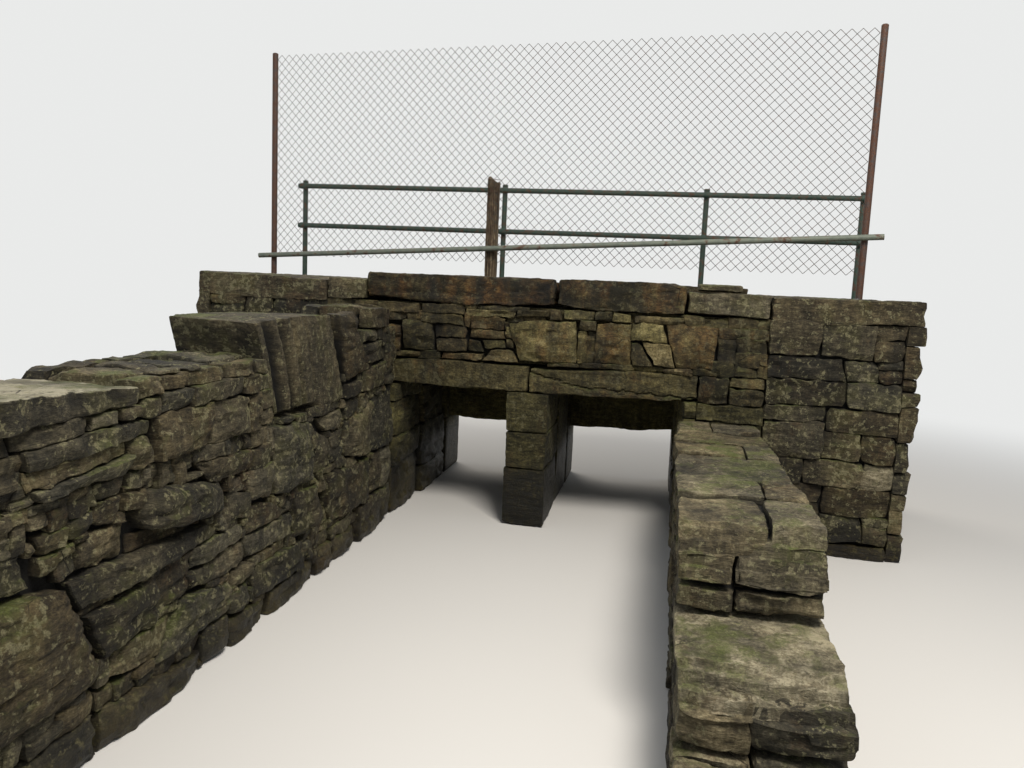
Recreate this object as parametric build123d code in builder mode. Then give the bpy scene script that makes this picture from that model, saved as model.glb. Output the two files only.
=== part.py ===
"""Old stone sluiceway: twin culverts under a headwall, between two ruined wing walls.

Millimetres. X runs across the channel, Y upstream, Z up, with the water line at zero.
The origin is under the middle of the whole, and the channel runs along Y.
"""

import os
from math import atan2, cos, degrees, hypot, radians, sin

from build123d import *

os.makedirs("parts", exist_ok=True)

# Culverts and pier
culvert_length = 2000
channel_left = 1020
channel_right = 1120
pier_width = 330
pier_stone_length = 700
pier_base_height = 450
pier_middle_height = 285
pier_top_height = 305
rear_soffit = 530
lintel_height = 210
lintel_depth = 450
rear_wall_depth = 400
joint = 10
left_bearing = 130
right_bearing = 130
ledge_depth = 20
ledge_start_height = 150
ledge_bend_x = 380
ledge_bend_height = 62
ledge_end_height = 28
roof_bearing = 300

# Plan of the whole
wall_thickness = 600
wing_thickness = 560
half_width = 2750
left_wing_length = 4300
right_wing_length = 3700

# Heights of the courses above the lintels
rubble_height = 340
levelling_height = 85
coping_height = 230
deck_slab_height = 150
deck_drop = 55
return_cap_height = 170
end_slab_height = 60

# Stones along the crest
left_coping_length = 1480
right_coping_length = 944
coping_joint_x = 178
coping_gap = 16
end_slab_length = 320
end_slab_inset = 70
end_slab_setback = 20

# Stop log slots
slot_width = 80
slot_depth = 60
slot_start_from_face = 1410
score_width = 12
score_depth = 10
score_from_middle = 20

# Left wing wall
wing_bed = 1050
cap_thickness = 105
cap_top = 1420
cap_length = 1170
cap_lip = 18
low_top_length = 980
low_top_near = 1385
low_top_far = 1430
tall_block_length = 930
tall_block_lean = 200
tall_block_top_near = 1615
tall_block_top_far = 1540
tall_block_setback = 24
step_low_top = 1490
step_high_top = 1640
step_high_length = 560

# The left wing wall's main stones stand out from the small ones. Their corners are given
# as distances downstream of the headwall and heights above the water.
wing_face_depth = 36
main_stone_chamfer = 14
near_boulder = [(4120, 290), (3340, 290), (3550, 720), (4120, 800)]
long_slab = [(3440, 595), (2520, 615), (2620, 685), (3510, 725)]
band_stone = [(3330, 360), (3020, 370), (3000, 570), (3420, 560)]
round_boulder = [(3150, 790), (2450, 700), (2500, 850), (3060, 965)]
lower_slab = [(3030, 200), (2440, 200), (2440, 335), (2820, 390)]
foot_slab = [(3380, 0), (2700, 0), (2680, 100), (3360, 165)]
far_lower_slab = [(2200, 160), (1660, 145), (1580, 285), (2200, 330)]
squared_block = [(1970, 650), (1500, 630), (1520, 990), (1950, 1030)]
band_block = [(1740, 335), (1280, 320), (1420, 585), (1740, 600)]
wide_block = [(1240, 290), (520, 265), (500, 560), (1280, 610)]
tapered_block = [(970, 660), (520, 590), (500, 990), (980, 840)]
foot_block = [(750, 0), (260, 0), (260, 250), (740, 250)]

# Right wing wall
right_low_height = 320
right_middle_height = 260
right_upper_height = 350
right_middle_length = 3300
right_upper_length = 2720
right_wing_bulge = 40
right_bulge_start = 150
right_bulge_full = 700
low_rake = 150
low_rake_height = 120
middle_rake = 210
middle_rake_height = 150
upper_rake = 170
upper_rake_height = 230

# Worn arrises
worn = 14
worn_small = 6
broken_corner = 70

# Chain link fence on the crest
post_diameter = 48
fence_left_x = -2450
fence_left_from_face = 750
fence_right_x = 2330
fence_right_from_face = 200
stub_share = 0.418
stub_width = 95
stub_height = 880
fence_height = 1875
rail_left_height = 160
rail_right_height = 430
rail_diameter = 42
rail_overhang = 120
wire_pitch = 430
wire_width = 8
wire_thickness = 4
mesh_bars = 15
clearance = 0.3

# Pipe railing on the upstream side
railing_from_rear = 200
railing_end_inset = 100
railing_second_x = -600
railing_third_x = 1290
railing_height = 875
railing_middle_height = 440

# Levels
soffit = pier_base_height + pier_middle_height + pier_top_height
lintel_top = soffit + lintel_height
levelling_bed = lintel_top + rubble_height
coping_bed = levelling_bed + levelling_height
crest = coping_bed + coping_height
deck_top = crest - deck_drop
core_top = deck_top - deck_slab_height
return_bed = deck_top - return_cap_height

# Plan lines
whole_length = culvert_length + left_wing_length
upstream_face = whole_length / 2
headwall_face = upstream_face - culvert_length
front_wall_back = headwall_face + lintel_depth
rear_wall_front = upstream_face - rear_wall_depth
slot_start = headwall_face + slot_start_from_face
slot_end = slot_start + slot_width
left_face = -channel_left
right_face = channel_right
left_back = left_face - wall_thickness
right_back = right_face + wall_thickness
left_wing_end = headwall_face - left_wing_length
right_wing_end = headwall_face - right_wing_length
culvert_middle = headwall_face + culvert_length / 2
front_middle = headwall_face + lintel_depth / 2
rear_middle = upstream_face - rear_wall_depth / 2
roof_middle = (front_wall_back + rear_wall_front) / 2
roof_length = rear_wall_front - front_wall_back

# The pier's dressed front stones, one on the other
with BuildPart() as pier_base_block:
    with BuildSketch(Plane.XY):
        with Locations((0, headwall_face + pier_stone_length / 2)):
            Rectangle(pier_width, pier_stone_length)
    extrude(amount=pier_base_height)
    chamfer(pier_base_block.faces().sort_by(Axis.Y)[0].edges().filter_by(Axis.Z), worn)
pier_base_block.part.label = "pier_base_block"
export_step(pier_base_block.part, "parts/pier_base_block.step")

with BuildPart() as pier_middle_block:
    with BuildSketch(Plane.XY.offset(pier_base_height)):
        with Locations((0, headwall_face + pier_stone_length / 2)):
            Rectangle(pier_width, pier_stone_length)
        with Locations((score_from_middle, headwall_face)):
            Rectangle(score_width, 2 * score_depth, mode=Mode.SUBTRACT)
    extrude(amount=pier_middle_height)
    chamfer(pier_middle_block.edges().filter_by(Axis.Z).group_by(Axis.X)[0].sort_by(Axis.Y)[0], worn_small)
pier_middle_block.part.label = "pier_middle_block"
export_step(pier_middle_block.part, "parts/pier_middle_block.step")

with BuildPart() as pier_top_block:
    with BuildSketch(Plane.XY.offset(pier_base_height + pier_middle_height)):
        with Locations((0, headwall_face + pier_stone_length / 2)):
            Rectangle(pier_width, pier_stone_length)
    extrude(amount=pier_top_height)
    chamfer(pier_top_block.faces().sort_by(Axis.Y)[0].edges().filter_by(Axis.Z), worn_small)
pier_top_block.part.label = "pier_top_block"
export_step(pier_top_block.part, "parts/pier_top_block.step")

# The pier's body and its upstream end, rebated for stop logs and stepped down under the rear lintels
with BuildPart() as pier_body:
    with BuildSketch(Plane.XY):
        with Locations((0, (headwall_face + pier_stone_length + slot_start) / 2)):
            Rectangle(pier_width, slot_start - headwall_face - pier_stone_length)
    extrude(amount=soffit)
pier_body.part.label = "pier_body"
export_step(pier_body.part, "parts/pier_body.step")

with BuildPart() as pier_nose_lower:
    with BuildSketch(Plane.XY):
        with BuildLine():
            Polyline(
                (slot_depth - pier_width / 2, slot_start),
                (pier_width / 2 - slot_depth, slot_start),
                (pier_width / 2 - slot_depth, slot_end),
                (pier_width / 2, slot_end),
                (pier_width / 2, upstream_face),
                (-pier_width / 2, upstream_face),
                (-pier_width / 2, slot_end),
                (slot_depth - pier_width / 2, slot_end),
                close=True,
            )
        make_face()
    extrude(amount=rear_soffit)
    chamfer(pier_nose_lower.faces().sort_by(Axis.Y)[-1].edges().filter_by(Axis.Z), worn)
pier_nose_lower.part.label = "pier_nose_lower"
export_step(pier_nose_lower.part, "parts/pier_nose_lower.step")

with BuildPart() as pier_nose_upper:
    with BuildSketch(Plane.XY.offset(rear_soffit)):
        with BuildLine():
            Polyline(
                (slot_depth - pier_width / 2, slot_start),
                (pier_width / 2 - slot_depth, slot_start),
                (pier_width / 2 - slot_depth, slot_end),
                (pier_width / 2, slot_end),
                (pier_width / 2, rear_wall_front),
                (-pier_width / 2, rear_wall_front),
                (-pier_width / 2, slot_end),
                (slot_depth - pier_width / 2, slot_end),
                close=True,
            )
        make_face()
    extrude(amount=soffit - rear_soffit)
pier_nose_upper.part.label = "pier_nose_upper"
export_step(pier_nose_upper.part, "parts/pier_nose_upper.step")

# Abutments, and the rebated jambs at their upstream ends that carry the rear lintels
with BuildPart() as left_abutment:
    with BuildSketch(Plane.XY):
        with Locations((left_face - wall_thickness / 2, (headwall_face + slot_start) / 2)):
            Rectangle(wall_thickness, slot_start - headwall_face)
    extrude(amount=soffit)
left_abutment.part.label = "left_abutment"
export_step(left_abutment.part, "parts/left_abutment.step")

with BuildPart() as left_jamb_lower:
    with BuildSketch(Plane.XY):
        with BuildLine():
            Polyline(
                (left_back, slot_start),
                (left_face - slot_depth, slot_start),
                (left_face - slot_depth, slot_end),
                (left_face, slot_end),
                (left_face, upstream_face),
                (left_back, upstream_face),
                close=True,
            )
        make_face()
    extrude(amount=rear_soffit)
left_jamb_lower.part.label = "left_jamb_lower"
export_step(left_jamb_lower.part, "parts/left_jamb_lower.step")

with BuildPart() as left_jamb_upper:
    with BuildSketch(Plane.XY.offset(rear_soffit)):
        with BuildLine():
            Polyline(
                (left_back, slot_start),
                (left_face - slot_depth, slot_start),
                (left_face - slot_depth, slot_end),
                (left_face, slot_end),
                (left_face, rear_wall_front),
                (left_face - roof_bearing, rear_wall_front),
                (left_face - roof_bearing, upstream_face),
                (left_back, upstream_face),
                close=True,
            )
        make_face()
    extrude(amount=soffit - rear_soffit)
left_jamb_upper.part.label = "left_jamb_upper"
export_step(left_jamb_upper.part, "parts/left_jamb_upper.step")

with BuildPart() as right_abutment:
    with BuildSketch(Plane.XY):
        with Locations((right_face + wall_thickness / 2, (headwall_face + slot_start) / 2)):
            Rectangle(wall_thickness, slot_start - headwall_face)
    extrude(amount=soffit)
right_abutment.part.label = "right_abutment"
export_step(right_abutment.part, "parts/right_abutment.step")

with BuildPart() as right_jamb_lower:
    with BuildSketch(Plane.XY):
        with BuildLine():
            Polyline(
                (right_back, slot_start),
                (right_face + slot_depth, slot_start),
                (right_face + slot_depth, slot_end),
                (right_face, slot_end),
                (right_face, upstream_face),
                (right_back, upstream_face),
                close=True,
            )
        make_face()
    extrude(amount=rear_soffit)
right_jamb_lower.part.label = "right_jamb_lower"
export_step(right_jamb_lower.part, "parts/right_jamb_lower.step")

with BuildPart() as right_jamb_upper:
    with BuildSketch(Plane.XY.offset(rear_soffit)):
        with BuildLine():
            Polyline(
                (right_back, slot_start),
                (right_face + slot_depth, slot_start),
                (right_face + slot_depth, slot_end),
                (right_face, slot_end),
                (right_face, rear_wall_front),
                (right_face + roof_bearing, rear_wall_front),
                (right_face + roof_bearing, upstream_face),
                (right_back, upstream_face),
                close=True,
            )
        make_face()
    extrude(amount=soffit - rear_soffit)
right_jamb_upper.part.label = "right_jamb_upper"
export_step(right_jamb_upper.part, "parts/right_jamb_upper.step")

# Lintels over the two mouths. A layer has split off the right one above a falling crack.
with BuildPart() as left_lintel:
    with BuildSketch(Plane.XY.offset(soffit)):
        with Locations(((left_face - left_bearing - joint / 2) / 2, front_middle)):
            Rectangle(channel_left + left_bearing - joint / 2, lintel_depth)
    extrude(amount=lintel_height)
    chamfer(left_lintel.faces().sort_by(Axis.Y)[0].edges().filter_by(Axis.X), worn)
left_lintel.part.label = "left_lintel"
export_step(left_lintel.part, "parts/left_lintel.step")

with BuildPart() as right_lintel:
    with BuildSketch(Plane.XY.offset(soffit)):
        with Locations(((right_face + right_bearing + joint / 2) / 2, front_middle)):
            Rectangle(channel_right + right_bearing - joint / 2, lintel_depth)
    extrude(amount=lintel_height)
    chamfer(right_lintel.faces().sort_by(Axis.Y)[0].edges().filter_by(Axis.X), worn)
    with BuildSketch(Plane.XZ.offset(-headwall_face)):
        with BuildLine():
            Polyline(
                (0, soffit + ledge_start_height),
                (ledge_bend_x, soffit + ledge_bend_height),
                (right_face + right_bearing, soffit + ledge_end_height),
                (right_face + right_bearing, lintel_top),
                (0, lintel_top),
                close=True,
            )
        make_face()
    extrude(amount=-ledge_depth, mode=Mode.SUBTRACT)
right_lintel.part.label = "right_lintel"
export_step(right_lintel.part, "parts/right_lintel.step")

# Roof slabs behind the lintels
with BuildPart() as left_roof_slab:
    with BuildSketch(Plane.XY.offset(soffit)):
        with Locations(((left_face - roof_bearing - joint / 2) / 2, roof_middle)):
            Rectangle(channel_left + roof_bearing - joint / 2, roof_length)
    extrude(amount=lintel_height)
left_roof_slab.part.label = "left_roof_slab"
export_step(left_roof_slab.part, "parts/left_roof_slab.step")

with BuildPart() as right_roof_slab:
    with BuildSketch(Plane.XY.offset(soffit)):
        with Locations(((right_face + roof_bearing + joint / 2) / 2, roof_middle)):
            Rectangle(channel_right + roof_bearing - joint / 2, roof_length)
    extrude(amount=lintel_height)
right_roof_slab.part.label = "right_roof_slab"
export_step(right_roof_slab.part, "parts/right_roof_slab.step")

# Low lintels at the upstream end
with BuildPart() as left_rear_lintel:
    with BuildSketch(Plane.XY.offset(rear_soffit)):
        with Locations(((left_face - roof_bearing - joint / 2) / 2, rear_middle)):
            Rectangle(channel_left + roof_bearing - joint / 2, rear_wall_depth)
    extrude(amount=soffit - rear_soffit)
    chamfer(left_rear_lintel.faces().sort_by(Axis.Z)[0].edges().filter_by(Axis.X), worn)
left_rear_lintel.part.label = "left_rear_lintel"
export_step(left_rear_lintel.part, "parts/left_rear_lintel.step")

with BuildPart() as right_rear_lintel:
    with BuildSketch(Plane.XY.offset(rear_soffit)):
        with Locations(((right_face + roof_bearing + joint / 2) / 2, rear_middle)):
            Rectangle(channel_right + roof_bearing - joint / 2, rear_wall_depth)
    extrude(amount=soffit - rear_soffit)
    chamfer(right_rear_lintel.faces().sort_by(Axis.Z)[0].edges().filter_by(Axis.X), worn)
right_rear_lintel.part.label = "right_rear_lintel"
export_step(right_rear_lintel.part, "parts/right_rear_lintel.step")

# Rubble above the lintels, brought level by a thin course
with BuildPart() as left_rubble:
    with BuildSketch(Plane.XZ.offset(-headwall_face)):
        with BuildLine():
            Polyline(
                (left_back, soffit),
                (left_face - left_bearing, soffit),
                (left_face - left_bearing, lintel_top),
                (0, lintel_top),
                (0, levelling_bed),
                (left_back, levelling_bed),
                close=True,
            )
        make_face()
    extrude(amount=-lintel_depth)
left_rubble.part.label = "left_rubble"
export_step(left_rubble.part, "parts/left_rubble.step")

with BuildPart() as right_rubble:
    with BuildSketch(Plane.XZ.offset(-headwall_face)):
        with BuildLine():
            Polyline(
                (right_back, soffit),
                (right_face + right_bearing, soffit),
                (right_face + right_bearing, lintel_top),
                (0, lintel_top),
                (0, levelling_bed),
                (right_back, levelling_bed),
                close=True,
            )
        make_face()
    extrude(amount=-lintel_depth)
right_rubble.part.label = "right_rubble"
export_step(right_rubble.part, "parts/right_rubble.step")

with BuildPart() as levelling_course:
    with BuildSketch(Plane.XY.offset(levelling_bed)):
        with Locations(((left_back + right_back) / 2, front_middle)):
            Rectangle(right_back - left_back, lintel_depth)
    extrude(amount=levelling_height)
levelling_course.part.label = "levelling_course"
export_step(levelling_course.part, "parts/levelling_course.step")

# Coping stones, with the rougher stones that end the course on each side
with BuildPart() as left_coping:
    with BuildSketch(Plane.XY.offset(coping_bed)):
        with Locations((coping_joint_x - (coping_gap + left_coping_length) / 2, front_middle)):
            Rectangle(left_coping_length, lintel_depth)
    extrude(amount=coping_height)
    chamfer(left_coping.faces().sort_by(Axis.Z)[-1].edges(), worn)
left_coping.part.label = "left_coping"
export_step(left_coping.part, "parts/left_coping.step")

with BuildPart() as right_coping:
    with BuildSketch(Plane.XY.offset(coping_bed)):
        with Locations((coping_joint_x + (coping_gap + right_coping_length) / 2, front_middle)):
            Rectangle(right_coping_length, lintel_depth)
    extrude(amount=coping_height)
    chamfer(right_coping.faces().sort_by(Axis.Z)[-1].edges(), worn)
right_coping.part.label = "right_coping"
export_step(right_coping.part, "parts/right_coping.step")

left_coping_end = coping_joint_x - coping_gap / 2 - left_coping_length
right_coping_end = coping_joint_x + coping_gap / 2 + right_coping_length

with BuildPart() as left_end_stone:
    with BuildSketch(Plane.XY.offset(coping_bed)):
        with Locations(((left_coping_end + left_back) / 2, front_middle)):
            Rectangle(left_coping_end - left_back, lintel_depth)
    extrude(amount=deck_top - coping_bed)
    chamfer(left_end_stone.faces().sort_by(Axis.Z)[-1].edges().filter_by(Axis.X), worn)
left_end_stone.part.label = "left_end_stone"
export_step(left_end_stone.part, "parts/left_end_stone.step")

with BuildPart() as right_end_stone:
    with BuildSketch(Plane.XY.offset(coping_bed)):
        with Locations(((right_coping_end + right_back) / 2, front_middle)):
            Rectangle(right_back - right_coping_end, lintel_depth)
    extrude(amount=deck_top - coping_bed)
    chamfer(right_end_stone.faces().sort_by(Axis.Z)[-1].edges().filter_by(Axis.X), worn)
right_end_stone.part.label = "right_end_stone"
export_step(right_end_stone.part, "parts/right_end_stone.step")

with BuildPart() as right_end_slab:
    with BuildSketch(Plane.XY.offset(deck_top)):
        with Locations((right_coping_end + end_slab_inset + end_slab_length / 2, front_middle)):
            Rectangle(end_slab_length, lintel_depth - 2 * end_slab_setback)
    extrude(amount=end_slab_height)
    chamfer(right_end_slab.faces().sort_by(Axis.Z)[-1].edges(), worn_small)
right_end_slab.part.label = "right_end_slab"
export_step(right_end_slab.part, "parts/right_end_slab.step")

# Rubble core of the crest and the slabs that deck it
with BuildPart() as crest_core:
    with BuildSketch(Plane.XZ.offset(-front_wall_back)):
        with BuildLine():
            Polyline(
                (left_back, soffit),
                (left_face - roof_bearing, soffit),
                (left_face - roof_bearing, lintel_top),
                (right_face + roof_bearing, lintel_top),
                (right_face + roof_bearing, soffit),
                (right_back, soffit),
                (right_back, core_top),
                (left_back, core_top),
                close=True,
            )
        make_face()
    extrude(amount=-roof_length)
crest_core.part.label = "crest_core"
export_step(crest_core.part, "parts/crest_core.step")

deck_slab_width = (right_back - left_back - 2 * joint) / 3

with BuildPart() as deck_slab_left:
    with BuildSketch(Plane.XY.offset(core_top)):
        with Locations(((left_back + right_back) / 2 - (deck_slab_width + joint), roof_middle)):
            Rectangle(deck_slab_width, roof_length)
    extrude(amount=deck_slab_height)
    chamfer(deck_slab_left.faces().sort_by(Axis.Z)[-1].edges(), worn_small)
deck_slab_left.part.label = "deck_slab_left"
export_step(deck_slab_left.part, "parts/deck_slab_left.step")

with BuildPart() as deck_slab_middle:
    with BuildSketch(Plane.XY.offset(core_top)):
        with Locations(((left_back + right_back) / 2, roof_middle)):
            Rectangle(deck_slab_width, roof_length)
    extrude(amount=deck_slab_height)
    chamfer(deck_slab_middle.faces().sort_by(Axis.Z)[-1].edges(), worn_small)
deck_slab_middle.part.label = "deck_slab_middle"
export_step(deck_slab_middle.part, "parts/deck_slab_middle.step")

with BuildPart() as deck_slab_right:
    with BuildSketch(Plane.XY.offset(core_top)):
        with Locations(((left_back + right_back) / 2 + (deck_slab_width + joint), roof_middle)):
            Rectangle(deck_slab_width, roof_length)
    extrude(amount=deck_slab_height)
    chamfer(deck_slab_right.faces().sort_by(Axis.Z)[-1].edges(), worn_small)
deck_slab_right.part.label = "deck_slab_right"
export_step(deck_slab_right.part, "parts/deck_slab_right.step")

# Upstream face of the crest
with BuildPart() as upstream_rubble:
    with BuildSketch(Plane.XY.offset(soffit)):
        with Locations(((left_back + right_back) / 2, rear_middle)):
            Rectangle(right_back - left_back, rear_wall_depth)
    extrude(amount=coping_bed - soffit)
upstream_rubble.part.label = "upstream_rubble"
export_step(upstream_rubble.part, "parts/upstream_rubble.step")

with BuildPart() as upstream_left_coping:
    with BuildSketch(Plane.XY.offset(coping_bed)):
        with Locations(((left_back - joint / 2) / 2, rear_middle)):
            Rectangle(-left_back - joint / 2, rear_wall_depth)
    extrude(amount=coping_height)
    chamfer(upstream_left_coping.faces().sort_by(Axis.Z)[-1].edges(), worn)
upstream_left_coping.part.label = "upstream_left_coping"
export_step(upstream_left_coping.part, "parts/upstream_left_coping.step")

with BuildPart() as upstream_right_coping:
    with BuildSketch(Plane.XY.offset(coping_bed)):
        with Locations(((right_back + joint / 2) / 2, rear_middle)):
            Rectangle(right_back - joint / 2, rear_wall_depth)
    extrude(amount=coping_height)
    chamfer(upstream_right_coping.faces().sort_by(Axis.Z)[-1].edges(), worn)
upstream_right_coping.part.label = "upstream_right_coping"
export_step(upstream_right_coping.part, "parts/upstream_right_coping.step")

# Masonry running into the bank on each side, with its cap slabs
with BuildPart() as left_return:
    with BuildSketch(Plane.XY):
        with Locations(((left_back - half_width) / 2, culvert_middle)):
            Rectangle(half_width + left_back, culvert_length)
    extrude(amount=return_bed)
left_return.part.label = "left_return"
export_step(left_return.part, "parts/left_return.step")

with BuildPart() as left_return_cap:
    with BuildSketch(Plane.XY.offset(return_bed)):
        with Locations(((left_back - half_width) / 2, culvert_middle)):
            Rectangle(half_width + left_back, culvert_length)
    extrude(amount=return_cap_height)
    chamfer(left_return_cap.faces().sort_by(Axis.Z)[-1].edges(), worn)
left_return_cap.part.label = "left_return_cap"
export_step(left_return_cap.part, "parts/left_return_cap.step")

with BuildPart() as right_return:
    with BuildSketch(Plane.XY):
        with Locations(((right_back + half_width) / 2, culvert_middle)):
            Rectangle(half_width - right_back, culvert_length)
    extrude(amount=return_bed)
right_return.part.label = "right_return"
export_step(right_return.part, "parts/right_return.step")

with BuildPart() as right_return_cap:
    with BuildSketch(Plane.XY.offset(return_bed)):
        with Locations(((right_back + half_width) / 2, culvert_middle)):
            Rectangle(half_width - right_back, culvert_length)
    extrude(amount=return_cap_height)
    chamfer(right_return_cap.faces().sort_by(Axis.Z)[-1].edges(), worn)
right_return_cap.part.label = "right_return_cap"
export_step(right_return_cap.part, "parts/right_return_cap.step")

# Left wing wall, one mass of rubble with an uneven top and a tall block that leans downstream
left_wing_back = left_face - wing_thickness
cap_bed = cap_top - cap_thickness
cap_end = left_wing_end + cap_length
low_top_end = cap_end + low_top_length
tall_block_start = low_top_end + tall_block_lean
tall_block_end = tall_block_start + tall_block_length
tall_block_near_corner = tall_block_top_near - broken_corner
near_slope = tall_block_lean / (tall_block_near_corner - wing_bed)
far_slope = tall_block_lean / (tall_block_top_far - wing_bed)
low_top_far_y = tall_block_start - near_slope * (low_top_far - wing_bed)
step_low_near_y = tall_block_end - far_slope * (step_low_top - wing_bed)
step_high_start = headwall_face - step_high_length
main_stones = [
    near_boulder,
    long_slab,
    band_stone,
    round_boulder,
    lower_slab,
    foot_slab,
    far_lower_slab,
    squared_block,
    band_block,
    wide_block,
    tapered_block,
    foot_block,
]

with BuildPart() as left_wing_wall:
    with BuildSketch(Plane.YZ.offset(left_wing_back)):
        with BuildLine():
            Polyline(
                (left_wing_end, 0),
                (headwall_face, 0),
                (headwall_face, wing_bed),
                (left_wing_end, wing_bed),
                close=True,
            )
        make_face()
    extrude(amount=wing_thickness - wing_face_depth)
    with BuildSketch(Plane.YZ.offset(left_face - wing_face_depth)):
        for outline in main_stones:
            with BuildLine():
                Polyline([(headwall_face - run, height) for run, height in outline], close=True)
            make_face()
    extrude(amount=wing_face_depth)
    chamfer(left_wing_wall.faces().group_by(Axis.X)[-1].edges(), main_stone_chamfer)
left_wing_wall.part.label = "left_wing_wall"
export_step(left_wing_wall.part, "parts/left_wing_wall.step")

with BuildPart() as left_wing_near_top:
    with BuildSketch(Plane.YZ.offset(left_wing_back)):
        with BuildLine():
            Polyline(
                (left_wing_end, wing_bed),
                (cap_end, wing_bed),
                (cap_end, cap_bed),
                (left_wing_end, cap_bed),
                close=True,
            )
        make_face()
    extrude(amount=wing_thickness)
left_wing_near_top.part.label = "left_wing_near_top"
export_step(left_wing_near_top.part, "parts/left_wing_near_top.step")

with BuildPart() as left_wing_cap:
    with BuildSketch(Plane.YZ.offset(left_wing_back)):
        with BuildLine():
            Polyline(
                (left_wing_end, cap_bed),
                (cap_end, cap_bed),
                (cap_end, cap_top),
                (left_wing_end, cap_top),
                close=True,
            )
        make_face()
    extrude(amount=wing_thickness + cap_lip)
    chamfer(left_wing_cap.faces().sort_by(Axis.Z)[-1].edges(), worn_small)
left_wing_cap.part.label = "left_wing_cap"
export_step(left_wing_cap.part, "parts/left_wing_cap.step")

with BuildPart() as left_wing_low_top:
    with BuildSketch(Plane.YZ.offset(left_wing_back)):
        with BuildLine():
            Polyline(
                (cap_end, wing_bed),
                (tall_block_start, wing_bed),
                (low_top_far_y, low_top_far),
                (cap_end, low_top_near),
                close=True,
            )
        make_face()
    extrude(amount=wing_thickness)
left_wing_low_top.part.label = "left_wing_low_top"
export_step(left_wing_low_top.part, "parts/left_wing_low_top.step")

with BuildPart() as left_wing_tall_block:
    with BuildSketch(Plane.YZ.offset(left_wing_back)):
        with BuildLine():
            Polyline(
                (tall_block_start, wing_bed),
                (tall_block_end, wing_bed),
                (tall_block_end - tall_block_lean, tall_block_top_far),
                (low_top_end + broken_corner, tall_block_top_near),
                (low_top_end, tall_block_near_corner),
                close=True,
            )
        make_face()
    extrude(amount=wing_thickness - tall_block_setback)
    chamfer(left_wing_tall_block.faces().sort_by(Axis.X)[-1].edges(), worn)
left_wing_tall_block.part.label = "left_wing_tall_block"
export_step(left_wing_tall_block.part, "parts/left_wing_tall_block.step")

with BuildPart() as left_wing_low_step:
    with BuildSketch(Plane.YZ.offset(left_wing_back)):
        with BuildLine():
            Polyline(
                (tall_block_end, wing_bed),
                (headwall_face, wing_bed),
                (headwall_face, step_low_top),
                (step_low_near_y, step_low_top),
                close=True,
            )
        make_face()
    extrude(amount=wing_thickness)
left_wing_low_step.part.label = "left_wing_low_step"
export_step(left_wing_low_step.part, "parts/left_wing_low_step.step")

with BuildPart() as left_wing_high_step:
    with BuildSketch(Plane.YZ.offset(left_wing_back)):
        with BuildLine():
            Polyline(
                (step_high_start, step_low_top),
                (headwall_face, step_low_top),
                (headwall_face, step_high_top),
                (step_high_start, step_high_top),
                close=True,
            )
        make_face()
    extrude(amount=wing_thickness - tall_block_setback)
    chamfer(left_wing_high_step.faces().sort_by(Axis.Z)[-1].edges().filter_by(Axis.Y), worn)
left_wing_high_step.part.label = "left_wing_high_step"
export_step(left_wing_high_step.part, "parts/left_wing_high_step.step")

# Right wing wall, bulged into the channel and ruined down in raked steps
right_middle_bed = right_low_height
right_upper_bed = right_low_height + right_middle_height
right_middle_end = headwall_face - right_middle_length
right_upper_end = headwall_face - right_upper_length
right_wing_back = right_face + wing_thickness
right_wing_face = right_face - right_wing_bulge
bulge_start_y = headwall_face - right_bulge_start
bulge_full_y = headwall_face - right_bulge_full

with BuildPart() as right_wing_lower:
    with BuildSketch(Plane.XY):
        with BuildLine():
            Polyline(
                (right_face, headwall_face),
                (right_face, bulge_start_y),
                (right_wing_face, bulge_full_y),
                (right_wing_face, right_wing_end),
                (right_wing_back, right_wing_end),
                (right_wing_back, headwall_face),
                close=True,
            )
        make_face()
    extrude(amount=right_low_height)
    chamfer(
        right_wing_lower.faces().sort_by(Axis.Y)[0].edges().sort_by(Axis.Z)[-1],
        low_rake_height,
        low_rake,
        reference=right_wing_lower.faces().sort_by(Axis.Y)[0],
    )
right_wing_lower.part.label = "right_wing_lower"
export_step(right_wing_lower.part, "parts/right_wing_lower.step")

with BuildPart() as right_wing_middle:
    with BuildSketch(Plane.XY.offset(right_middle_bed)):
        with BuildLine():
            Polyline(
                (right_face, headwall_face),
                (right_face, bulge_start_y),
                (right_wing_face, bulge_full_y),
                (right_wing_face, right_middle_end),
                (right_wing_back, right_middle_end),
                (right_wing_back, headwall_face),
                close=True,
            )
        make_face()
    extrude(amount=right_middle_height)
    chamfer(
        right_wing_middle.faces().sort_by(Axis.Y)[0].edges().sort_by(Axis.Z)[-1],
        middle_rake_height,
        middle_rake,
        reference=right_wing_middle.faces().sort_by(Axis.Y)[0],
    )
right_wing_middle.part.label = "right_wing_middle"
export_step(right_wing_middle.part, "parts/right_wing_middle.step")

with BuildPart() as right_wing_upper:
    with BuildSketch(Plane.XY.offset(right_upper_bed)):
        with BuildLine():
            Polyline(
                (right_face, headwall_face),
                (right_face, bulge_start_y),
                (right_wing_face, bulge_full_y),
                (right_wing_face, right_upper_end),
                (right_wing_back, right_upper_end),
                (right_wing_back, headwall_face),
                close=True,
            )
        make_face()
    extrude(amount=right_upper_height)
    chamfer(
        right_wing_upper.faces().sort_by(Axis.Y)[0].edges().sort_by(Axis.Z)[-1],
        upper_rake_height,
        upper_rake,
        reference=right_wing_upper.faces().sort_by(Axis.Y)[0],
    )
right_wing_upper.part.label = "right_wing_upper"
export_step(right_wing_upper.part, "parts/right_wing_upper.step")

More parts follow.
